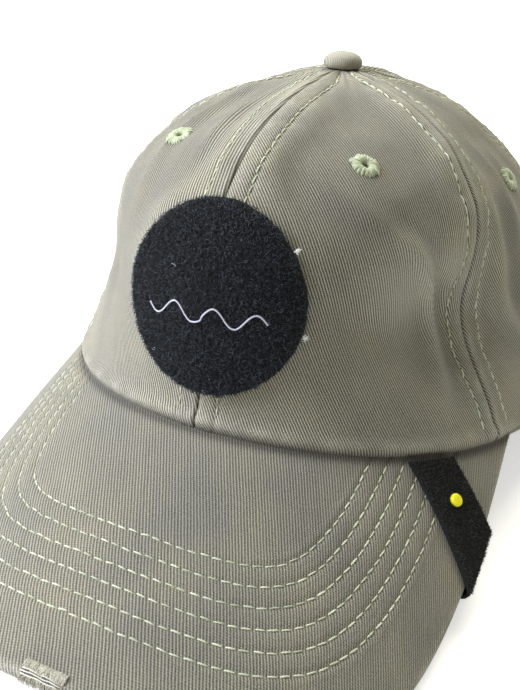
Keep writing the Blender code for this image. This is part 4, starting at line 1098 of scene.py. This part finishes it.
def bill():
    """The top cover, turned over the edge and a little way back underneath."""
    inner, edge, outward, width = bill_strip(count=380, setback=3.0)
    roll = np.minimum(ROLL, 0.45 * width)
    # Each row across: blend from seam to edge, share of the roll, extra inset, and lift
    rows = [(b, 1, 0, 0) for b in np.linspace(0, 1, TOP_ROWS)]
    for turn in np.radians(np.linspace(0, 150, 14)[1:]):
        rows.append((1, 1 - math.sin(turn), 0, -ROLL_DROP * (1 - math.cos(turn))))
    rows += [(b, 1, 0.6, -1) for b in np.linspace(1, 0, 24)]
    blend, rolled, extra, lift = np.array(rows).T
    outer = edge - outward * np.minimum(roll * rolled + extra, width)[..., None]
    flats = inner + (outer - inner) * blend[:, None]
    relief, away, along = row_relief(flats)
    top = np.arange(len(rows)) < TOP_ROWS
    points, normal = on_bill(flats, lift + relief * smooth_step(away / 2.5) * top)
    torn = smooth_step((TORN_HALF + 0.3 - np.abs(flats[..., 0] - TORN_MIDDLE)) / 0.6)
    at_front = flats[..., 1] < EAR_LINE_Y - FRONT_REACH
    torn = torn * smooth_step((TORN_DEEP + 0.2 - away) / 0.5) * at_front
    points = lifted(points, normal, -TORN_SUNK * torn * smooth_step((away - 0.5) / 0.6) * top)
    wear = 0.8 * bell(away - 0.4, 1.5) * (0.6 + 0.6 * noise_plane(along * 55 + 9, away, 34))
    swept(
        "bill_top_cloth", points, bill_twill, replaces="bill_top_cover",
        # fray marks the torn patch, coloured as bare threads with painted shade in its hollow
        cloth=flats, wear=np.clip(wear, 0, 1), fray=torn,
        # Painted shade: darker on the bill along the crown's foot, where the hem overhangs it
        crease=bell((beyond_crown(flats) - 1) * FRONT_REACH, 1.5) * top,
    )


def bill_underside():
    inner, edge, outward, width = bill_strip(count=240, setback=0.6)
    outer = edge - outward * np.minimum(0.9, width)[..., None]
    blend = np.concatenate([np.linspace(0, 1, 70), np.linspace(1, 0, 20)])
    flats = inner + (outer - inner) * blend[:, None]
    relief, away, _ = row_relief(flats)
    skin = -relief * smooth_step(away / 2.5)
    points, _ = on_bill(flats, np.where(np.arange(len(blend)) < 70, skin, 0.9) - BILL_THICK)
    swept(
        "bill_under_cloth", points[:, ::-1], bill_twill,
        replaces="bill_under_cover", cloth=flats[:, ::-1],
    )


def bill_rows():
    """The rows of stitching, laid out flat, each kept where it lies outside the crown."""
    share = np.linspace(0.01, 0.99, 1400)
    edge, outward, swing = bill_edge(share), bill_outward(share), row_swing(1 - 2 * share)
    for row in range(ROW_COUNT):
        flat = edge - (ROW_FIRST + row * ROW_STEP + swing)[:, None] * outward
        hidden = (beyond_crown(flat) ** 2 <= 1.02) | (flat[:, 1] >= EAR_LINE_Y)
        middle = len(share) // 2
        low = np.flatnonzero(np.append(True, hidden[:middle])).max()
        high = middle + np.flatnonzero(np.append(hidden[middle:], True)).min()
        yield flat[low:high]


def bill_stitching():
    over, under = [], []
    for flat in bill_rows():
        relief, _, _ = row_relief(flat)
        over.append(on_bill(flat, relief))
        point, normal = on_bill(flat, -BILL_THICK - relief)
        under.append((point, -normal))
    sew("bill_row_stitching", over, seed=63)
    sew("bill_under_stitching", under, seed=64)


def band_rows():
    """Down the pile band: blend from seam to edge, bulge past the edge, and height."""
    rows = [(b, 0, 0) for b in np.linspace(0.03, 1, 60)]
    for turn in np.radians(np.linspace(0, 180, 12)[1:]):
        rows.append((1, 0.8 * math.sin(turn), -BILL_THICK * (1 - math.cos(turn)) / 2))
    rows += [(b, 0, -BILL_THICK) for b in np.linspace(1, 0.62, 16)[1:]]
    return np.array(rows).T[..., None]


def band_skin(lift):
    """One skin of the pile band, from the crown's foot over the edge to the underside."""
    blend, bulge, height = band_rows()
    share = np.linspace(0, 1, 30)
    angle, place = (a + (b - a) * share for a, b in (BAND_SEAM_ANGLES, BAND_EDGE_SHARES))
    seam, edge, outward = bill_seam(angle), bill_edge(place), bill_outward(place)
    flat = seam + (edge - seam) * blend[..., None] + outward * bulge[..., None]
    point, normal = on_bill(flat, height)
    sideways = np.append(bill_outward(np.array(BAND_EDGE_MIDDLE)), 0)
    turn = (PI * height / -BILL_THICK)[..., None]
    facing = unit(normal * np.cos(turn) + sideways * np.sin(turn))
    return point + lift * facing, facing


def pile_band():
    inner, _ = band_skin(lift=0.35)
    outer, facing = band_skin(lift=1.5)
    sheet("bill_band_base", outer, inner, pile_base, slot="black_pile", replaces="bill_pile_band")
    rng = np.random.default_rng(81)
    r, c = (rng.uniform(0, size - 1.001, BAND_FIBRES) for size in outer.shape[:2])
    i, j = r.astype(int), c.astype(int)
    u, v = (r - i)[:, None], (c - j)[:, None]
    base = outer[i, j] * (1 - u) * (1 - v) + outer[i + 1, j] * u * (1 - v)
    base = base + outer[i, j + 1] * (1 - u) * v + outer[i + 1, j + 1] * u * v
    pile("bill_band_fibres", base, facing[i, j], band_fibre, seed=82, length=0.9)


def band_dot():
    seam, edge = bill_seam(sum(BAND_SEAM_ANGLES) / 2), bill_edge(BAND_EDGE_MIDDLE)
    centre, normal = on_bill(seam + (edge - seam) * DOT_BLEND, DOT_LIFT)
    side = unit(np.cross(normal, [0, 1, 0]))
    profile = ((0.1, -0.3), (1.85, -0.3), (1.9, 0.3), (1.8, 0.75), (1.45, 1.0), (0.8, 1.12), (0.1, 1.14))
    axes = side, np.cross(normal, side), normal
    ring = turned(centre, axes, *np.array(profile).T[..., None], 40)
    swept(
        "bill_band_dot_cap", ring, dot_plastic, turned_over=True,
        slot="yellow_plastic", replaces="bill_band_dot",
    )


bill()
bill_underside()
bill_stitching()
pile_band()
band_dot()


# ---------------------------------------------------------------- front patch


def patch_frame():
    """The patch's centre, and its axes right, up and outward."""
    place = PATCH_ANGLE, PATCH_CLIMB
    return smooth_crown(*place), upright_axes(smooth_normal(*place))


def on_patch(x, y, lift):
    """A point over the crown, seen square-on from the patch's centre."""
    centre, (right, up, _) = patch_frame()

    def square_on(point):
        return stack((point - centre) @ right, (point - centre) @ up)

    target = stack(np.asarray(x, float), np.asarray(y, float))
    angle = PATCH_ANGLE + target[..., 0] / FRONT_REACH
    share = (PATCH_RISE + target[..., 1]) / CLOTH_RISE
    angle, share = crown.settle(square_on, target, angle, share)
    point, normal, _ = crown.frame(angle, share)
    return lifted(point, normal, lift), normal


def patch():
    rim, oval = PATCH_HALF_WIDTH - 0.3, PATCH_HALF_HEIGHT / PATCH_HALF_WIDTH
    radii = np.linspace(0.4, rim - 1.0, 26)
    profile = [(r, PATCH_TOP) for r in radii]
    profile += [(rim - 0.3, 2.1), (rim, 1.5), (rim - 0.1, 0.8), (rim - 0.6, 0.4)]
    profile += [(r, PATCH_BASE) for r in radii[::-1]]
    reach, lift = np.array(profile).T[..., None]
    turn = turns(144)
    reach = reach * (1 + 0.008 * noise_line(turn * 8, 91) * (reach > 20))
    ring, _ = on_patch(reach * np.cos(turn), oval * reach * np.sin(turn), lift)
    swept(
        "front_patch_base", ring, pile_base, turned_over=True,
        slot="black_pile", replaces="front_patch",
    )
    rng = np.random.default_rng(92)
    r = rim * np.sqrt(rng.uniform(0, 1, PATCH_FIBRES))
    t = rng.uniform(0, 2 * PI, PATCH_FIBRES)
    droop = np.clip((r - rim + 1.2) / 1.2, 0, 1) ** 2
    base, normal = on_patch(r * np.cos(t), oval * r * np.sin(t), PATCH_TOP - droop)
    right, up, _ = patch_frame()[1]
    outward = np.cos(t)[:, None] * right + np.sin(t)[:, None] * up
    facing = unit(normal + 1.5 * droop[:, None] * outward)
    pile("front_patch_fibres", base, facing, pile_fibre, seed=93, length=1.25, radius=0.1)


def ridge_line():
    """A thin raised line in even waves across the patch."""
    x = np.linspace(-LINE_HALF_LENGTH, LINE_HALF_LENGTH, 200)
    y = LINE_SWING * np.sin(PI * LINE_WAVES * x / LINE_HALF_LENGTH) - LINE_DROP
    line, normal = on_patch(x, y, lift=3.1)
    strands(
        "patch_ridge_thread", line[None], normal[None], np.full((1, len(x)), 0.25), [0.6], ridge_thread,
        sides=10, flat=0.8, slot="line_thread", replaces="patch_ridge_line",
    )


patch()
ridge_line()


# ---------------------------------------------------------------- rear opening, strap, buckle


def behind(x, z, depth):
    """The point under the back of the crown, straight behind an X-Z place."""

    def from_behind(point):
        return point[..., [0, 2]]

    x, z = np.broadcast_arrays(np.asarray(x, float), np.maximum(z, 1.0))
    start = PI - np.arcsin(x / HALF_WIDTH), z / CLOTH_RISE
    angle, share = crown.settle(from_behind, stack(x, z), *start)
    point, normal, _ = crown.frame(angle, share)
    return lifted(point, normal, -np.asarray(depth)), normal


def arch_place(turn, away):
    """A place this far outside the opening's edge."""
    cos, sin = np.cos(turn), np.sin(turn)
    edge = stack(ARCH_HALF_WIDTH * cos, ARCH_HEIGHT * sin)
    return lifted(edge, unit(stack(cos / ARCH_HALF_WIDTH, sin / ARCH_HEIGHT)), away)


def fold(radius, start, end, count):
    """Section points of the binding's fold round the panels' edge, without the first."""
    turn = np.radians(np.linspace(start, end, count)[1:])
    return [(-radius * math.cos(t), PANEL_THICK / 2 + radius * math.sin(t)) for t in turn]


def binding():
    # Each point: distance from the opening's edge, and depth under the crown's surface
    section = [(a, -0.9) for a in (5.0, BIND_ROW, 2.6, 1.3, 0.0)] + fold(1.4, -90, 90, 9)
    section += [(a, 1.9) for a in (1.3, 2.6, BIND_ROW, 5.0)] + [(a, 1.36) for a in (5.0, 2.5, 0.0)]
    section += fold(0.85, 90, -90, 7) + [(a, -0.36) for a in (2.5, 5.0)]
    away, depth = np.array(section[::-1]).T
    turn, away = grid(np.linspace(0, PI, 130), away)
    place = arch_place(turn, away)
    channel = 0.2 * bell(away - BIND_ROW, 0.5) * (depth < 0)
    points, _ = behind(place[..., 0], place[..., 1], depth + channel)
    swept(
        "opening_binding_cloth", points, plain_twill, replaces="opening_binding",
        cloth=stack(turn * (ARCH_HALF_WIDTH + ARCH_HEIGHT) / 2, away), wear=0.6 * (away < -0.2),
    )
    place = arch_place(np.linspace(0.02, PI - 0.02, 500), BIND_ROW)
    sew("binding_stitching", [behind(place[:, 0], place[:, 1], -0.72)], seed=65)


def hem_circle(angle, depth, height):
    radius = HALF_WIDTH - depth
    return stack(radius * np.sin(angle), EAR_LINE_Y - radius * np.cos(angle), height)


def near_both(share, at, width):
    """Bells at this share in from both edges of a band."""
    return bell(share - at, width) + bell(1 - share - at, width)


def strap():
    height = np.linspace(STRAP_LOW, STRAP_HIGH, 26)
    share = (height - STRAP_LOW) / (STRAP_HIGH - STRAP_LOW)
    inset = 0.32 * near_both(share, 0, 0.03) + 0.14 * near_both(share, 0.13, 0.03)
    depth = np.append(STRAP_DEPTH + inset, (STRAP_DEPTH + STRAP_THICK - inset)[::-1])
    height = np.append(height, height[::-1])
    angle = np.linspace(STRAP_START, STRAP_END, 260)[:, None]
    middle, half = (STRAP_HIGH + STRAP_LOW) / 2, (STRAP_HIGH - STRAP_LOW) / 2
    worn = 0.4 * bell(np.abs(height - middle) - half, 0.8)
    swept(
        "rear_strap_cloth", hem_circle(angle, depth, height), plain_twill, body="strap",
        replaces="rear_strap", cloth=stack(angle * STRAP_RADIUS, height), wear=np.tile(worn, len(angle)),
    )
    angle = np.linspace(STRAP_START + 0.01, STRAP_END - 0.01, 400)
    normal = stack(np.sin(angle), -np.cos(angle), 0)
    runs = []
    for row in (STRAP_LOW + STRAP_ROW, STRAP_HIGH - STRAP_ROW):
        for depth, sign in ((STRAP_DEPTH + 0.14, 1), (STRAP_DEPTH + STRAP_THICK - 0.14, -1)):
            runs.append((hem_circle(angle, depth, row), sign * normal))
    sew("rear_strap_stitching", runs, seed=66, body="strap", radius=0.2, lift=0.06)


def buckle_plan(along, out):
    """A place in plan by the buckle: this far along the hem, and outward from it."""
    sin, cos = math.sin(BUCKLE_ANGLE), math.cos(BUCKLE_ANGLE)
    origin = hem_circle(BUCKLE_ANGLE, 0, 0)[:2]
    return origin + along * np.array([-cos, -sin]) + out * np.array([sin, -cos])


def tab():
    """The short tab: along the hem, then looped round the buckle's bar."""
    reach = BUCKLE_ANGLE - (BAR_ALONG + TAB_LOOP) / HALF_WIDTH
    angles = TAB_REACH + (reach - TAB_REACH) * np.linspace(0, 1, 24)
    path = list(hem_circle(angles, TAB_LOOP - BAR_OUT + 0.15, 0)[:, :2])
    for turn in np.radians(np.linspace(-90, -310, 30)):
        path.append(buckle_plan(BAR_ALONG + TAB_LOOP * math.cos(turn), BAR_OUT + TAB_LOOP * math.sin(turn)))
    path = np.array(path)
    along = unit(np.gradient(path, axis=0))
    height = np.linspace(TAB_LOW, TAB_HIGH, 22)[:, None]
    half = TAB_THICK / 2 - 0.2 * near_both((height - TAB_LOW) / (TAB_HIGH - TAB_LOW), 0, 0.04)
    offset = half[..., None] * stack(-along[:, 1], along[:, 0])
    skins = [stack(*np.moveaxis(path + sign * offset, -1, 0), height) for sign in (-1, 1)]
    cloth = stack(np.arange(len(path)) * 0.8, height)
    sheet("buckle_tab_cloth", *skins, plain_twill, cloth=cloth, replaces="buckle_tab")


binding()
strap()
tab()


# ---------------------------------------------------------------- small things and kept CAD parts


def lint():
    """Loose pale fibres in four places on the patch and at its rim."""
    rng = np.random.default_rng(95)
    lines, normals = [], []
    t = np.linspace(-0.5, 0.5, 6)[:, None]
    for x, y, count in ((20.3, 16.0, 14), (24.3, -5.8, 20), (-14.0, -16.0, 3), (-9.5, 8.5, 2)):
        at, normal = on_patch(x, y, lift=2.9)
        for _ in range(count):
            way, curl = unit(rng.normal(0, 1, 3)), unit(rng.normal(0, 1, 3))
            start = at + rng.normal(0, 0.28, 3)
            lines.append(start + way * t * rng.uniform(0.6, 1.5) + curl * (0.25 - t * t) * 0.9)
            normals.append(np.tile(normal, (len(t), 1)))
    lines, tones = np.array(lines), np.full(len(lines), 0.5)
    radii = np.full(lines.shape[:2], 0.09)
    strands("patch_lint", lines, np.array(normals) + 1e-3, radii, tones, lint_fibre, 4, slot="line_thread")


def worn_edge():
    """Bare cords, cut thread ends and a fringe where the bill's front edge has rubbed through."""
    rng = np.random.default_rng(96)
    rings = np.linspace(0, 1, 8)
    laid = []

    def lay(x, inset, lift, radius, tone):
        share = np.interp(-x, -EDGE_POINTS[:, 0], EDGE_SHARES)
        flat = bill_edge(share) - inset[:, None] * bill_outward(share)
        laid.append((*on_bill(flat, lift), np.full(len(rings), radius), tone))

    for inset, half in CORDS:
        wobble = 0.15 * noise_line(rings * 5 + inset, 97)
        x = TORN_MIDDLE + half * (2 * rings - 1)
        lay(x, inset + wobble, 0.05 + wobble, 0.15, rng.uniform(0.5, 1))
    for _ in range(CUT_ENDS):
        x = TORN_MIDDLE + rng.uniform(-TORN_HALF, TORN_HALF) + rng.normal(0, 0.35) * rings**2
        start, end = TORN_DEEP + rng.normal(0.1, 0.12), 2.1 + rng.normal(0, 0.3)
        lift = rng.uniform(0.2, 0.6) * np.sin(PI * rings) - 0.1
        lay(x, start + (end - start) * rings, lift, 0.09, rng.uniform(0.1, 0.8))
    for _ in range(FRINGE):
        x = TORN_MIDDLE + rng.uniform(-TORN_HALF, TORN_HALF) + rng.normal(0, 0.5) * rings
        inset = 0.8 - rng.uniform(0.9, 1.5) * rings
        lay(x, inset, -rng.uniform(0.6, 2.4) * rings**2, 0.08, rng.uniform(0, 0.3))
    lines, normals, radii, tones = (np.array(part) for part in zip(*laid))
    strands("bill_worn_threads", lines, normals + 1e-3, radii, tones, bare_cord, 5, slot="vent_thread")


lint()
worn_edge()

KEPT = {
    "bill_board": board_plastic, "button_core": steel, "button_backing": steel,
    "buckle_frame": brass, "buckle_lever": brass, "buckle_pin": brass,
}
for name, material in KEPT.items():
    node = frame["nodes"][name]
    node.data.materials.clear()
    node.data.materials.append(material)
    if name.startswith("buckle"):
        bevel = node.modifiers.new("soft_edges", "BEVEL")
        bevel.width, bevel.segments, bevel.limit_method = 0.12 * MM, 2, "ANGLE"


# ---------------------------------------------------------------- floor, light and camera

SEEN_LIGHT, FILL_LIGHT, FLOOR_GLOW = 1.05, 0.305, 0.55
WARM_LIGHT, COOL_LIGHT, WHITE = (1.03, 1.0, 0.84, 1), (0.97, 1.0, 1.09, 1), (1, 1, 1, 1)
LAMP_AWAY, LAMP_SIZE, LAMP_AIM = 0.95, 0.55, (0, 0, 0.06)  # in metres
CAMERA_PLACE, CAMERA_LENS = (99.19, -273.10, 153.72), 44.895
CAMERA_TURN, CAMERA_RISE, CAMERA_ROLL = np.radians((24.033, 25.804, 3.176)).tolist()


def toward(turn, rise):
    """The direction at this turn from +X and this rise above level, in radians."""
    return Vector((math.cos(turn) * math.cos(rise), math.sin(turn) * math.cos(rise), math.sin(rise)))


def floor():
    half, thick = 3.0, 0.02
    corners = [(x, y, z) for z in (-thick, 0) for y in (-half, half) for x in (-half, half)]
    sides = (0, 2, 3, 1), (4, 5, 7, 6), (0, 1, 5, 4), (1, 3, 7, 5), (3, 2, 6, 7), (2, 0, 4, 6)
    mesh = bpy.data.meshes.new("floor")
    mesh.from_pydata(corners, [], sides)
    s = Shader("pale_floor", 0.7)
    mesh.materials.append(s.finish(linear(250, 250, 250)))
    s.feed(s.inputs["Emission Color"], WHITE)
    seen = s.node("ShaderNodeLightPath", {}, "Is Camera Ray")
    s.feed(s.inputs["Emission Strength"], seen * FLOOR_GLOW)
    add_object("floor", mesh)


def world():
    """A bright white background for the camera, and a dimmer, warmer light for the cap."""
    made = bpy.data.worlds.new("studio")
    made.use_nodes = True
    nodes = Nodes(made.node_tree)
    background = nodes.tree.nodes["Background"].inputs
    seen = nodes.node("ShaderNodeLightPath", {}, "Is Camera Ray")
    strength = {0: seen, 1: SEEN_LIGHT - FILL_LIGHT, 2: FILL_LIGHT}
    strength = nodes.node("ShaderNodeMath", strength, operation="MULTIPLY_ADD")
    nodes.feed(background["Strength"], strength)
    nodes.feed(background["Color"], nodes.mix(seen, WARM_LIGHT, WHITE))
    bpy.context.scene.world = made


def lamp(name, azimuth, elevation, energy, color):
    """A soft lamp aimed at the cap. Azimuth 0 is +X and 90 is +Y, in degrees."""
    light = bpy.data.lights.new(name, "AREA")
    light.energy, light.size, light.color = energy, LAMP_SIZE, color[:3]
    way = toward(math.radians(azimuth), math.radians(elevation))
    made = add_object(name, light)
    made.location = Vector(LAMP_AIM) + LAMP_AWAY * way
    made.rotation_euler = (-way).to_track_quat("-Z", "Y").to_euler()


def camera():
    """The camera fitted to the photo, placed in the cap's own frame."""
    made = bpy.data.cameras.new("camera")
    made.lens, made.sensor_width, made.clip_start = CAMERA_LENS, 36, 0.01
    back = toward(CAMERA_TURN - PI / 2, CAMERA_RISE)
    level = toward(CAMERA_TURN, 0)
    right = math.cos(CAMERA_ROLL) * level + math.sin(CAMERA_ROLL) * back.cross(level)
    turn = CAP_TURN @ Matrix((right, back.cross(right), back)).transposed()
    place = cap_origin + CAP_TURN @ (Vector(CAMERA_PLACE) * MM)
    eye = add_object("camera", made)
    eye.matrix_world = Matrix.Translation(place) @ turn.to_4x4()
    bpy.context.scene.camera = eye


floor()
world()
lamp("left_low", 210, 20, 6.4, COOL_LIGHT)
lamp("left_high", 210, 45, 9.8, COOL_LIGHT)
lamp("behind", 90, 45, 8.2, WARM_LIGHT)
camera()
bpy.context.scene.view_settings.view_transform = "Standard"
